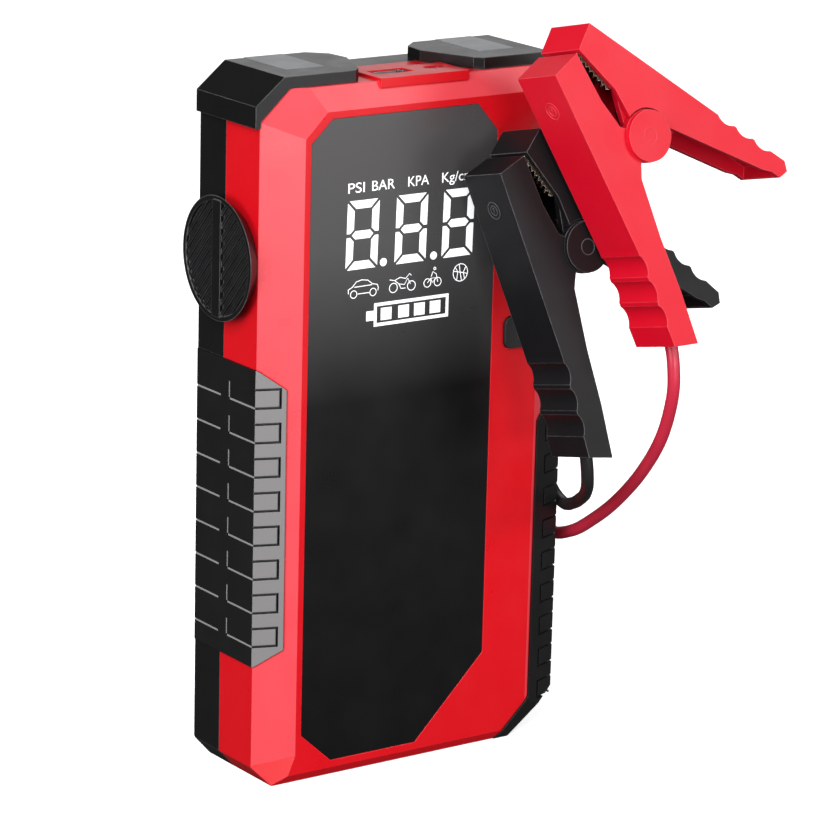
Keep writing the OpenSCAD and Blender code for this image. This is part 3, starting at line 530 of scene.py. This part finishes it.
# clamp plastics: edges lightened by wear and a painted highlight
RED_CLAMP = Finish(
    "moulded_abs_clamp_red", "#d40a26", "#cb0923", 0.42, ior=1.36, grain=0.7, relief=0.014,
    edge_wear_and_highlight_colour="#ff8a94"
)
BLACK_CLAMP = Finish(
    "moulded_abs_clamp_black", "#161517", "#131214", 0.48, ior=1.32, grain=0.7, relief=0.016,
    edge_wear_and_highlight_colour="#a5a2a8"
)
# copper plated jaw steel, with a warm cast in its scratches
JAW_STEEL = Finish(
    "copper_plated_jaw_steel", "#7d6a52", "#6b5944", 0.4, Process.BRUSHED, grain=0.3,
    relief=0.01, metallic=1.0
)
SPRING_STEEL = Finish(
    "drawn_spring_steel", "#b3b3b4", "#a2a2a3", 0.24, Process.BRUSHED, grain=0.2, relief=0.005,
    metallic=1.0
)
# white print that glows as the digits of a lit display do
LIT_PRINT = Finish(
    "lit_display_print", "#f4f6f8", "#eef0f2", 0.4, Process.POLISHED, 0.02, 3.0, 0.001,
    edge=0.05, emission=0.55
)
# the pale lines printed on the grips
GREY_PRINT = Finish("pad_print_grey", "#8f8e8d", "#888786", 0.5, grain=0.6, relief=0.004, edge=0.05)

NODE_FINISHES: dict[str, Finish] = {
    "front_frame": RED_ABS,
    "rear_shell": BLACK_ABS,
    "face_panel": PANEL_ACRYLIC,
    "display_module": PANEL_ACRYLIC,
    # the left grip, with a painted reflection on its front face
    "left_grip": GRIP_RUBBER_PAINTED_REFLECTION,
    "right_grip": GRIP_RUBBER,
    "corner_bumper_left": BLACK_ABS,
    "corner_bumper_right": BLACK_ABS,
    "lamp_lens_left": LAMP_LENS,
    "lamp_lens_right": LAMP_LENS,
    "lamp_boards": LAMP_BOARD,
    "usb_a_socket": SOCKET_STEEL,
    "usb_a_tongue": TONGUE_PLASTIC,
    "usb_c_socket": SOCKET_STEEL,
    "usb_c_tongue": TONGUE_PLASTIC,
    "button_top": BUTTON_PLASTIC,
    "button_middle": BUTTON_PLASTIC,
    "button_bottom": BUTTON_PLASTIC,
    "button_switches": TRAY_PLASTIC,
    "main_board": CIRCUIT_BOARD,
    "battery_cell_front": CELL_FOIL,
    "battery_cell_middle": CELL_FOIL,
    "battery_cell_back": CELL_FOIL,
    "battery_tray": TRAY_PLASTIC,
    "battery_board": CIRCUIT_BOARD,
    "pump_motor": MOTOR_STEEL,
    "motor_shaft": MOTOR_STEEL,
    "pinion": BRASS,
    "crank_gear": GEAR_NYLON,
    "gear_axle": MOTOR_STEEL,
    "pump_housing": CAST_ALUMINIUM,
    "pump_piston": GEAR_NYLON,
    "connecting_rod": GEAR_NYLON,
    "air_nozzle": BRASS,
    "port_ring": BLACK_ABS,
    "air_cap": BLACK_ABS,
    "nozzle_seal": SEAL_RUBBER,
    "start_socket": SOCKET_PLASTIC,
    "socket_pins": BRASS,
    "plug_housing": PLUG_PLASTIC,
    "plug_sleeves": BRASS,
    "plug_boots": PLUG_PLASTIC,
    "red_clamp_lower": RED_CLAMP,
    "red_clamp_upper": RED_CLAMP,
    "red_pivot_caps": RED_CLAMP,
    "black_clamp_lower": BLACK_CLAMP,
    "black_clamp_upper": BLACK_CLAMP,
    "black_pivot_caps": BLACK_CLAMP,
    "red_jaw_lower": JAW_STEEL,
    "red_jaw_upper": JAW_STEEL,
    "black_jaw_lower": JAW_STEEL,
    "black_jaw_upper": JAW_STEEL,
    "red_pivot_pin": MOTOR_STEEL,
    "black_pivot_pin": MOTOR_STEEL,
    "shell_screws": MOTOR_STEEL,
}


def dress(piece: bpy.types.Object, finish: Finish) -> None:
    """Gives a piece one finish and nothing else."""
    piece.data.materials.clear()
    piece.data.materials.append(finish.material())


def dress_nodes(nodes: dict[str, bpy.types.Object]) -> None:
    """Gives every carried-over node its finish.

    Args:
        nodes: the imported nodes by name.
    """
    for name, finish in NODE_FINISHES.items():
        dress(nodes[name], finish)
        LOG.info("dressed %s as %s", name, finish.name)


# ---------- printed display ----------


@dataclass
class PrintedDisplay:
    """Digits, unit labels, four symbols and the charge bar printed on the face panel."""

    ink: float = 0.05 * MM
    digit_left: tuple[float, ...] = (-28.6, -10.9, 6.4)
    digit_w: float = 11.4
    digit_h: float = 21.0
    digit_z: float = 159.2
    stroke_w: float = 2.5
    gap: float = 0.6
    lean: float = 0.5
    dots: tuple[Point, ...] = ((-14.9, 160.4), (3.5, 160.4))
    labels: tuple[tuple[str, float, float], ...] = (
        ("PSI", -28.5, 5.9),
        ("BAR", -19.9, 8.2),
        ("KPA", -6.8, 7.6),
        ("Kg/cm²", 5.6, 13.0),
    )
    label_z: float = 182.6
    label_h: float = 3.1
    battery: tuple[Point, Point] = ((-17.9, 140.8), (9.5, 148.0))

    def face(self) -> float:
        """Depth of the panel's front face, in metres."""
        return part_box("face_panel")[0].y

    def plate(self, outlines: list[list[Point]], name: str) -> bpy.types.Object:
        """Makes flat print from closed outlines.

        Args:
            outlines: closed outlines as (x, z) in millimetres; one inside another is a hole.
            name: the piece's name.

        Returns:
            The print as a thin mesh on the panel.
        """
        upright = Matrix.Translation((0, self.face() - self.ink / 2, 0)) @ Matrix.Rotation(
            math.radians(90), 4, "X"
        )
        return cut_sheet(outlines, self.ink, upright, name)

    def lines(self, runs: list[list[Point]], width: float, name: str) -> bpy.types.Object:
        """Makes thin printed lines.

        Args:
            runs: each line's points as (x, z) in millimetres.
            width: how wide the line is, in millimetres.
            name: the piece's name.

        Returns:
            The lines as one flattened mesh on the panel.
        """
        curve = bpy.data.curves.new(name, "CURVE")
        curve.dimensions = "3D"
        curve.bevel_depth = width * MM / 2
        curve.bevel_resolution = 1
        curve.use_fill_caps = True
        for run in runs:
            spline = curve.splines.new("POLY")
            spline.points.add(len(run) - 1)
            for point, (x, z) in zip(spline.points, run):
                point.co = (x * MM, 0, z * MM, 1)
        piece = bpy.data.objects.new(name, curve)
        bpy.context.collection.objects.link(piece)
        piece.scale = (1, self.ink / (width * MM), 1)
        piece.location = (0, self.face() - self.ink / 2, 0)
        return settle(piece, name)

    def segments(self, left: float) -> list[list[Point]]:
        """Seven segments of one digit.

        Args:
            left: the digit's left edge in millimetres.

        Returns:
            Closed outlines, with mitred ends and a small gap between neighbours.
        """
        w, h, s, g = self.digit_w, self.digit_h, self.stroke_w, self.gap
        mid = h / 2
        shapes: list[list[Point]] = [
            [(g, h), (w - g, h), (w - s - g, h - s), (s + g, h - s)],
            [(g, 0), (s + g, s), (w - s - g, s), (w - g, 0)],
            [(0, h - g), (s, h - s - g), (s, mid + s / 2 + g), (s / 2, mid + g), (0, mid + g)],
            [(0, g), (0, mid - g), (s / 2, mid - g), (s, mid - s / 2 - g), (s, s + g)],
            [(w, h - g), (w, mid + g), (w - s / 2, mid + g), (w - s, mid + s / 2 + g), (w - s, h - s - g)],
            [(w, g), (w - s, s + g), (w - s, mid - s / 2 - g), (w - s / 2, mid - g), (w, mid - g)],
            [
                (s / 2 + g, mid),
                (s + g, mid + s / 2),
                (w - s - g, mid + s / 2),
                (w - s / 2 - g, mid),
                (w - s - g, mid - s / 2),
                (s + g, mid - s / 2),
            ],
        ]
        slope = self.lean / h
        return [[(left + x + z * slope, self.digit_z + z) for x, z in shape] for shape in shapes]

    @staticmethod
    def ring(centre: Point, radius: float, steps: int = 20) -> list[Point]:
        """A circle as points, closed by its first point again."""
        return [
            (
                centre[0] + radius * math.cos(2 * math.pi * k / steps),
                centre[1] + radius * math.sin(2 * math.pi * k / steps),
            )
            for k in range(steps + 1)
        ]

    def symbols(self) -> list[list[Point]]:
        """Lines of the car, motorbike, bicycle and ball.

        Returns:
            Runs of points in millimetres.
        """
        ring = self.ring
        car = [
            [(-27.3, 151.9), (-27.4, 153.2), (-25.9, 153.9), (-24.5, 155.4), (-22.6, 155.8), (-20.4, 155.5),
             (-18.7, 154.2), (-16.9, 153.8), (-16.5, 152.8), (-16.7, 151.9)],
            [(-24.0, 151.6), (-19.7, 151.6)],
            [(-25.2, 153.8), (-18.8, 153.9)],
            ring((-25.4, 151.6), 1.15),
            ring((-18.4, 151.6), 1.15),
        ]
        motorbike = [
            ring((-11.0, 152.0), 1.45),
            ring((-4.4, 152.0), 1.45),
            [(-12.4, 154.6), (-10.6, 154.2), (-9.0, 153.0), (-7.0, 152.6), (-5.8, 154.4), (-4.8, 152.6)],
            [(-10.6, 154.2), (-8.6, 155.0), (-6.6, 154.4), (-5.2, 155.8), (-4.5, 155.2)],
            [(-9.0, 153.0), (-8.2, 151.5), (-6.6, 151.5)],
        ]
        bicycle = [
            ring((1.5, 152.1), 1.3),
            ring((5.3, 152.1), 1.3),
            [(1.5, 152.1), (2.7, 153.4), (4.5, 153.5), (3.4, 152.0), (2.7, 153.4)],
            [(2.9, 154.0), (3.4, 155.4), (4.7, 154.6), (5.3, 152.1)],
            ring((4.1, 156.3), 0.4, 8),
        ]
        ball = [
            ring((13.7, 154.0), 2.7),
            [(11.1, 154.6), (13.7, 154.1), (16.3, 153.4)],
            [(13.2, 156.6), (13.6, 154.1), (14.2, 151.4)],
            [(11.7, 155.9), (12.7, 154.3), (12.4, 151.7)],
            [(15.7, 155.7), (14.8, 154.0), (15.3, 151.9)],
        ]
        return car + motorbike + bicycle + ball

    def charge_bar(self) -> list[list[Point]]:
        """Outline, terminal and four bars of the charge display."""
        (left, low), (right, high) = self.battery

        def rectangle(x0: float, z0: float, x1: float, z1: float) -> list[Point]:
            """Corners of a rectangle."""
            return [(x0, z0), (x1, z0), (x1, z1), (x0, z1)]

        outlines = [
            rectangle(left, low, right, high),
            rectangle(left + 1.0, low + 1.0, right - 1.0, high - 1.0),
            rectangle(left - 2.8, low + 2.0, left - 0.02, high - 2.2),
        ]
        for x in (-15.4, -9.0, -3.2, 2.6):
            outlines.append(rectangle(x, low + 1.7, x + 3.9, high - 1.7))
        return outlines

    def unit_labels(self) -> bpy.types.Object:
        """Sets the four unit labels above the digits.

        Returns:
            The labels as one mesh.
        """
        made = []
        for text, left, width in self.labels:
            clear_selection()
            bpy.ops.object.text_add()
            label = bpy.context.object
            label.data.body = text
            label.data.size = self.label_h * MM * 1.42
            label.data.extrude = self.ink / 2
            bpy.context.view_layer.update()
            grow = width * MM / max(label.dimensions.x, 1e-6)
            label.scale = (grow, 1, 1)
            label.rotation_euler = (math.radians(90), 0, 0)
            label.location = (left * MM, self.face() - self.ink / 2, self.label_z * MM)
            made.append(settle(label, "label"))
        return join(made, "display_unit_labels")

    def build(self) -> None:
        """Prints everything on the panel and lets it ride with the pack."""
        digits = [outline for left in self.digit_left for outline in self.segments(left)]
        dots = [self.ring(centre, 1.25)[:-1] for centre in self.dots]
        pieces = [
            self.plate(digits + dots, "display_digits"),
            self.plate(self.charge_bar(), "display_charge_bar"),
            self.lines(self.symbols(), 0.3, "display_symbols"),
            self.unit_labels(),
        ]
        for piece in pieces:
            dress(piece, LIT_PRINT)
            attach(piece, "root")
            LOG.info("printed %s", piece.name)


# ---------- grips ----------


@dataclass
class GripLines:
    """Pale inlays in the grooves down one grip's side."""

    node: str
    side: int
    first: float
    pitch: float = 10.65
    groove: float = 0.7
    floor: float = 56.5

    def slab(self, low: Point, high: Point) -> bpy.types.Object:
        """Makes one inlay.

        Args:
            low: its least Y and Z in millimetres.
            high: its greatest Y and Z in millimetres.

        Returns:
            A thin block that stands on the groove's floor.
        """
        clear_selection()
        bpy.ops.mesh.primitive_cube_add(size=1)
        block = bpy.context.object
        block.dimensions = (0.4 * MM, (high[0] - low[0]) * MM, (high[1] - low[1]) * MM)
        block.location = (
            self.side * (self.floor + 0.22) * MM,
            (low[0] + high[0]) / 2 * MM,
            (low[1] + high[1]) / 2 * MM,
        )
        return settle(block, "inlay")

    def build(self) -> None:
        """Fills the grooves of every block from the top down."""
        low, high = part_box(self.node)
        back = high.y / MM
        z = high.z / MM - self.first
        bottom = low.z / MM + 3
        inlays = []
        while z > bottom:
            under = z - self.groove + 0.04
            inlays.append(self.slab((-15.0, under), (-0.84, z - 0.04)))
            inlays.append(self.slab((-1.46, under), (-0.84, z + 4.96)))
            inlays.append(self.slab((3.64, under), (back - 0.2, z - 0.04)))
            z -= self.pitch
        lines = join(inlays, f"{self.node}_lines")
        dress(lines, GREY_PRINT)
        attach(lines, "root")
        LOG.info("inlaid %s", lines.name)


# ---------- leads ----------


@dataclass
class ClampPlace:
    """Where one clamp stands: its pivot and its turn about it, as the CAD places it."""

    pivot: Point3
    turn: float
    lean: float = 12.8

    def frame(self) -> Matrix:
        """Matrix from the clamp's own plane (metres, pivot at the origin) to the pack."""
        return (
            Matrix.Translation(Vector(self.pivot) * MM)
            @ Matrix.Rotation(math.radians(90 - self.lean), 4, "X")
            @ Matrix.Rotation(math.radians(self.turn), 4, "Z")
        )

    def at(self, point: Point) -> Vector:
        """A point of the clamp's plane, in millimetres, as a place in the pack in metres."""
        return self.frame() @ (Vector((point[0], point[1], 0)) * MM)


RED_PLACE = ClampPlace((49.7, -53.8, 198.3), 0.0)
BLACK_PLACE = ClampPlace((39.0, -39.3, 162.8), -8.0)


@dataclass
class Lead:
    """A flexible lead from its boot on the plug to the crimp in its clamp's handle."""

    name: str
    node: str
    finish: Finish
    place: ClampPlace
    route: tuple[Point3, ...]
    diameter: float = 4.0
    in_hand: tuple[Point, ...] = (
        (8.2, -62.0), (5.4, -52.5), (-0.4, -37.3), (-5.0, -26.9), (-9.0, -17.7),
    )

    def points(self) -> list[Vector]:
        """The lead's route points in metres, through the handle to the crimp."""
        return [Vector(p) * MM for p in self.route] + [self.place.at(p) for p in self.in_hand]

    def centreline(self, steps: int = 6) -> list[Vector]:
        """A smooth curve through the route points.

        Args:
            steps: points between two route points.

        Returns:
            Points close together along the curve.
        """
        p = self.points()
        last = len(p) - 1
        out: list[Vector] = []
        for i in range(last):
            start = p[i + 1] - p[i] if i == 0 else (p[i + 1] - p[i - 1]) / 2
            end = p[i + 1] - p[i] if i == last - 1 else (p[i + 2] - p[i]) / 2
            for k in range(steps):
                u = k / steps
                out.append(
                    (2 * u**3 - 3 * u**2 + 1) * p[i]
                    + (u**3 - 2 * u**2 + u) * start
                    + (3 * u**2 - 2 * u**3) * p[i + 1]
                    + (u**3 - u**2) * end
                )
        out.append(p[last])
        return out

    def build(self) -> None:
        path = self.centreline()
        curve = bpy.data.curves.new(self.name, "CURVE")
        curve.dimensions = "3D"
        curve.bevel_depth = self.diameter / 2 * MM
        curve.bevel_resolution = 5
        curve.use_fill_caps = True
        spline = curve.splines.new("POLY")
        spline.points.add(len(path) - 1)
        for point, place in zip(spline.points, path):
            point.co = (*place, 1)
        spline.use_smooth = True
        sheath = bpy.data.objects.new(self.name, curve)
        bpy.context.collection.objects.link(sheath)
        length = sum((b - a).length for a, b in zip(path, path[1:]))
        sheath = settle(sheath, self.name)
        dress(sheath, self.finish)
        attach(sheath, "lead_set")
        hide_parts(self.node)
        LOG.info("lead %s is %.0f mm long", self.name, length * 1000)


RED_LEAD = Lead(
    "red_lead_sheath", "red_lead", RED_SILICONE, RED_PLACE,
    (
        (64, 10, 141), (64, 10, 131), (64, 11, 115), (64.5, 12, 95), (65, 12, 78), (65.5, 8, 65),
        (65.5, -2, 59.5), (66, -12, 62), (66, -22, 68), (64.5, -36, 78), (63, -50, 91), (61.5, -61, 105),
        (59.2, -68.3, 119.5), (58.4, -69.3, 129.5),
    ),
)
BLACK_LEAD = Lead(
    "black_lead_sheath", "black_lead", BLACK_SILICONE, BLACK_PLACE,
    (
        (64, 1, 141), (64, 1, 131), (64, 2, 115), (64, 4, 98), (64, 3, 84), (63.5, -4, 75),
        (61, -14, 72.5), (56.5, -25, 76), (50.5, -36, 81), (45, -45.5, 86), (40.6, -52, 92.2),
    ),
)


# ---------- clamps ----------


@dataclass
class ClampDetail:
    """Tooth strips inside the upper half's edges, and the marks moulded on a clamp."""

    name: str
    place: ClampPlace
    finish: Finish
    lower_body: str
    upper_body: str
    half_t: float = 9.5
    wall: float = 2.0
    cap_t: float = 1.5
    edge: tuple[Point, Point] = ((-21.3, 26.6), (-10.6, 15.1))
    teeth: int = 8
    tooth_h: float = 1.2
    web: tuple[Point, Point] = ((-31.6, 20.7), (-7.8, -33.6))
    mark_at: float = 11.5

    def tooth_line(self) -> list[Point]:
        """Points of the zigzag along the teeth, in the clamp's plane."""
        a, b = (Vector(p) for p in self.edge)
        along = (b - a) / self.teeth
        out = Vector((along.y, -along.x)).normalized()
        points = []
        for k in range(self.teeth):
            points.append(tuple(a + along * k + 0.1 * out))
            points.append(tuple(a + along * (k + 0.5) + self.tooth_h * out))
        return points + [tuple(b + 0.1 * out)]

    def tooth_strip(self, side: int) -> bpy.types.Object:
        """Makes the toothed strip behind one flange of the upper half.

        Args:
            side: 1 for the flange in front and -1 for the one behind.

        Returns:
            The strip, its teeth out in the gap between the halves.
        """
        a, b = (Vector(p) for p in self.edge)
        inward = Vector((a.y - b.y, b.x - a.x)).normalized()
        outline = [tuple(b + 1.5 * inward), tuple(a + 1.5 * inward)] + self.tooth_line()
        level = side * (self.half_t - self.wall - 0.35) * MM
        return cut_sheet(
            [outline], 0.5 * MM, self.place.frame() @ Matrix.Translation((0, 0, level)), "strip"
        )

    def tooth_edge(self, side: int) -> bpy.types.Object:
        """Lays the bright ground edge along the teeth of one strip.

        Args:
            side: the flange, as for the strip.

        Returns:
            A fine wire along the teeth.
        """
        curve = bpy.data.curves.new("edge", "CURVE")
        curve.dimensions = "3D"
        curve.bevel_depth = 0.17 * MM
        curve.bevel_resolution = 1
        curve.use_fill_caps = True
        points = self.tooth_line()
        spline = curve.splines.new("POLY")
        spline.points.add(len(points) - 1)
        level = side * (self.half_t - self.wall - 0.2)
        for point, (x, y) in zip(spline.points, points):
            point.co = (x * MM, y * MM, level * MM, 1)
        wire = bpy.data.objects.new("edge", curve)
        bpy.context.collection.objects.link(wire)
        wire.matrix_world = self.place.frame()
        return settle(wire, "edge")

    def ring(self, place: Matrix, radius: float) -> bpy.types.Object:
        """Lays a fine raised ring on a face.

        Args:
            place: the face's own frame, in metres.
            radius: the ring's radius in millimetres.

        Returns:
            The ring.
        """
        clear_selection()
        bpy.ops.mesh.primitive_torus_add(
            major_radius=radius * MM, minor_radius=0.16 * MM, major_segments=40, minor_segments=8
        )
        ring = bpy.context.object
        ring.matrix_world = place
        return settle(ring, "ring")

    def marks(self) -> list[bpy.types.Object]:
        """Makes the ring and bar on the web, and the small ring on each pivot cap."""
        a, b = (Vector(p) for p in self.web)
        down = (b - a).normalized()
        spot = a + down * self.mark_at
        face = (
            self.place.frame()
            @ Matrix.Translation((spot.x * MM, spot.y * MM, 0))
            @ Matrix.Rotation(math.atan2(down.y, down.x), 4, "Z")
            @ Matrix.Rotation(math.radians(90), 4, "X")
        )
        bar = [(-0.9, -0.25), (0.9, -0.25), (0.9, 0.25), (-0.9, 0.25)]
        pieces = [self.ring(face, 2.7), self.ring(face, 1.5), cut_sheet([bar], 0.3 * MM, face, "bar")]
        for side in (-1, 1):
            level = side * (self.half_t + self.cap_t) * MM
            cap = self.place.frame() @ Matrix.Translation((0, 0, level))
            pieces.append(self.ring(cap, 2.4))
        return pieces

    def build(self) -> None:
        """Adds the strips to the upper half and the marks to the lower one."""
        strips = join([self.tooth_strip(side) for side in (-1, 1)], f"{self.name}_tooth_strips")
        dress(strips, JAW_STEEL)
        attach(strips, self.upper_body)
        edges = join([self.tooth_edge(side) for side in (-1, 1)], f"{self.name}_tooth_edges")
        dress(edges, SPRING_STEEL)
        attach(edges, self.upper_body)
        marks = join(self.marks(), f"{self.name}_marks")
        dress(marks, self.finish)
        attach(marks, self.lower_body)
        LOG.info("detailed %s", self.name)


@dataclass
class ClampSpring:
    """The torsion spring on a clamp's pivot: a wound wire with one leg into each half."""

    name: str
    node: str
    place: ClampPlace
    coil_r: float = 3.6
    wire_r: float = 0.65
    turns: int = 6
    leg: float = 10.0

    def build(self) -> None:
        """Winds the wire and stands it for the CAD's plain sleeve."""
        pitch = 2.05 * self.wire_r
        half = pitch * self.turns / 2
        steps = self.turns * 24
        points = [Vector((-self.leg * 0.94, -self.leg * 0.34 - 3.38, -half)) * MM]
        first, last = math.radians(-70), math.radians(198)
        sweep = last - first + 2 * math.pi * (self.turns - 1)
        for k in range(steps + 1):
            a = first + sweep * k / steps
            z = -half + 2 * half * k / steps
            points.append(Vector((self.coil_r * math.cos(a), self.coil_r * math.sin(a), z)) * MM)
        points.append(Vector((-6.6, 8.4, half)) * MM)
        curve = bpy.data.curves.new(self.name, "CURVE")
        curve.dimensions = "3D"
        curve.bevel_depth = self.wire_r * MM
        curve.bevel_resolution = 2
        curve.use_fill_caps = True
        spline = curve.splines.new("POLY")
        spline.points.add(len(points) - 1)
        frame = self.place.frame()
        for point, place in zip(spline.points, points):
            point.co = (*(frame @ place), 1)
        wire = bpy.data.objects.new(self.name, curve)
        bpy.context.collection.objects.link(wire)
        wire = settle(wire, self.name)
        dress(wire, SPRING_STEEL)
        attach(wire, "lead_set")
        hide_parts(self.node)
        LOG.info("wound %s", self.name)


# ---------- studio ----------


@dataclass
class Studio:
    """Pale floor, soft boxes and the camera."""

    centre: Point3 = (0.0, 2.83, 107.5)
    azimuth: float = -35.33
    elevation: float = 15.1
    roll: float = 1.47
    distance: float = 1223.2
    shift: Point = (12.21, -1.245)
    focal_px: float = 3950.73
    width_px: float = 834.0

    def axes(self) -> tuple[Vector, Vector, Vector]:
        """The camera's right, up and back directions."""
        a, e, r = (math.radians(v) for v in (self.azimuth, self.elevation, self.roll))
        back = Vector((math.sin(a) * math.cos(e), -math.cos(a) * math.cos(e), math.sin(e)))
        right = Vector((math.cos(a), math.sin(a), 0))
        up = back.cross(right)
        return (
            math.cos(r) * right + math.sin(r) * up,
            -math.sin(r) * right + math.cos(r) * up,
            back,
        )

    def camera(self) -> None:
        """Stands the camera and makes it the scene's own."""
        right, up, back = self.axes()
        data = bpy.data.cameras.new("camera")
        data.sensor_fit = "HORIZONTAL"
        data.sensor_width = 36.0
        data.lens = self.focal_px * 36.0 / self.width_px
        data.clip_start = 0.05
        data.clip_end = 20
        camera = bpy.data.objects.new("camera", data)
        place = (Vector(self.centre) + self.distance * back + self.shift[0] * right + self.shift[1] * up) * MM
        turn = Matrix((right, up, back)).transposed().to_4x4()
        camera.matrix_world = Matrix.Translation(place) @ turn
        bpy.context.collection.objects.link(camera)
        bpy.context.scene.camera = camera

    @staticmethod
    def soft_box(name: str, place: Point3, aim: Point3, size: Point, power: float) -> None:
        """Hangs a rectangular lamp that looks at a point.

        Args:
            name: the lamp's name.
            place: where it hangs, in metres.
            aim: the point it looks at, in metres.
            size: its width and height in metres.
            power: its power in watts.
        """
        data = bpy.data.lights.new(name, "AREA")
        data.shape = "RECTANGLE"
        data.size, data.size_y = size
        data.energy = power
        lamp = bpy.data.objects.new(name, data)
        lamp.location = place
        lamp.rotation_euler = (Vector(aim) - Vector(place)).to_track_quat("-Z", "Y").to_euler()
        bpy.context.collection.objects.link(lamp)

    def lights(self) -> None:
        """Hangs the soft boxes and lights the room."""
        aim = (0.0, 0.0, 0.11)
        self.soft_box("key_box", (-0.8, -0.65, 0.8), aim, (0.6, 0.6), 11.0)
        self.soft_box("bevel_box", (-0.12, -1.25, 0.06), aim, (0.45, 0.35), 7.0)
        self.soft_box("panel_box", (0.34, -0.54, 0.17), (0.0, 0.0, 0.19), (0.56, 0.24), 0.65)
        self.soft_box("side_box", (-1.15, -0.3, 0.3), aim, (0.5, 0.5), 7.5)
        self.soft_box("brow_box", (0.72, -1.0, 0.64), (0.0, 0.0, 0.2), (0.45, 0.3), 4.5)
        self.soft_box("top_box", (0.55, 0.8, 0.62), (0.0, 0.0, 0.2), (0.5, 0.4), 0.9)
        world = bpy.data.worlds.new("room")
        world.use_nodes = True
        tree = world.node_tree
        tree.nodes.clear()
        path = add_node(tree, "ShaderNodeLightPath")
        # a white room to look at, a dim one to be lit by and a dark one in reflections
        lit = add_node(
            tree,
            "ShaderNodeMapRange",
            {"inputs": {"To Min": 0.38, "To Max": 0.06}},
            Value=path.outputs["Is Glossy Ray"],
        ).outputs["Result"]
        strength = add_node(
            tree,
            "ShaderNodeMix",
            {"inputs": {3: 1.0}},
            i0=path.outputs["Is Camera Ray"],
            i2=lit,
        ).outputs[0]
        back = add_node(
            tree, "ShaderNodeBackground", {"inputs": {"Color": (1, 1, 1, 1)}}, Strength=strength
        )
        add_node(tree, "ShaderNodeOutputWorld", Surface=back.outputs["Background"])
        bpy.context.scene.world = world

    def floor(self) -> None:
        """Lays the pale floor: matt paper that throws little light back on the pack."""
        clear_selection()
        bpy.ops.mesh.primitive_plane_add(size=8, location=(0, 0, -0.0004))
        floor = settle(bpy.context.object, "floor")
        material = bpy.data.materials.new("studio_paper")
        material.use_nodes = True
        tree = material.node_tree
        tree.nodes.clear()
        path = add_node(tree, "ShaderNodeLightPath")
        paper = add_node(
            tree,
            "ShaderNodeBsdfDiffuse",
            {"inputs": {"Color": hex_to_linear("#f4f4f4"), "Roughness": 0.9}},
        )
        glow = add_node(
            tree,
            "ShaderNodeEmission",
            {"inputs": {"Color": (1, 1, 1, 1), "Strength": 0.55}},
        )
        lifted = add_node(tree, "ShaderNodeAddShader", i0=paper.outputs["BSDF"], i1=glow.outputs[0])
        dark = add_node(
            tree, "ShaderNodeBsdfDiffuse", {"inputs": {"Color": hex_to_linear("#4a4a4a")}}
        )
        mixed = add_node(
            tree,
            "ShaderNodeMixShader",
            i0=path.outputs["Is Camera Ray"],
            i1=dark.outputs["BSDF"],
            i2=lifted.outputs[0],
        )
        add_node(tree, "ShaderNodeOutputMaterial", Surface=mixed.outputs[0])
        floor.data.materials.append(material)

    def build(self) -> None:
        """Sets up the whole studio."""
        self.camera()
        self.lights()
        self.floor()


# ---------- the whole scene ----------


def main() -> None:
    """Builds every sub-assembly in order."""
    logging.basicConfig(level=logging.INFO, format="%(message)s")
    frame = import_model()
    Studio().build()
    for lead in (RED_LEAD, BLACK_LEAD):
        lead.build()
    dress_nodes(frame["nodes"])
    PrintedDisplay().build()
    GripLines("left_grip", -1, 11.2).build()
    GripLines("right_grip", 1, 20.0).build()
    ClampDetail("red_clamp", RED_PLACE, RED_CLAMP, "lead_set", "red_clamp_jaw").build()
    ClampDetail("black_clamp", BLACK_PLACE, BLACK_CLAMP, "lead_set", "black_clamp_jaw").build()
    ClampSpring("red_spring_wire", "red_spring", RED_PLACE).build()
    ClampSpring("black_spring_wire", "black_spring", BLACK_PLACE).build()
    bpy.context.scene.view_settings.view_transform = "Standard"


if __name__ == "__main__":
    main()
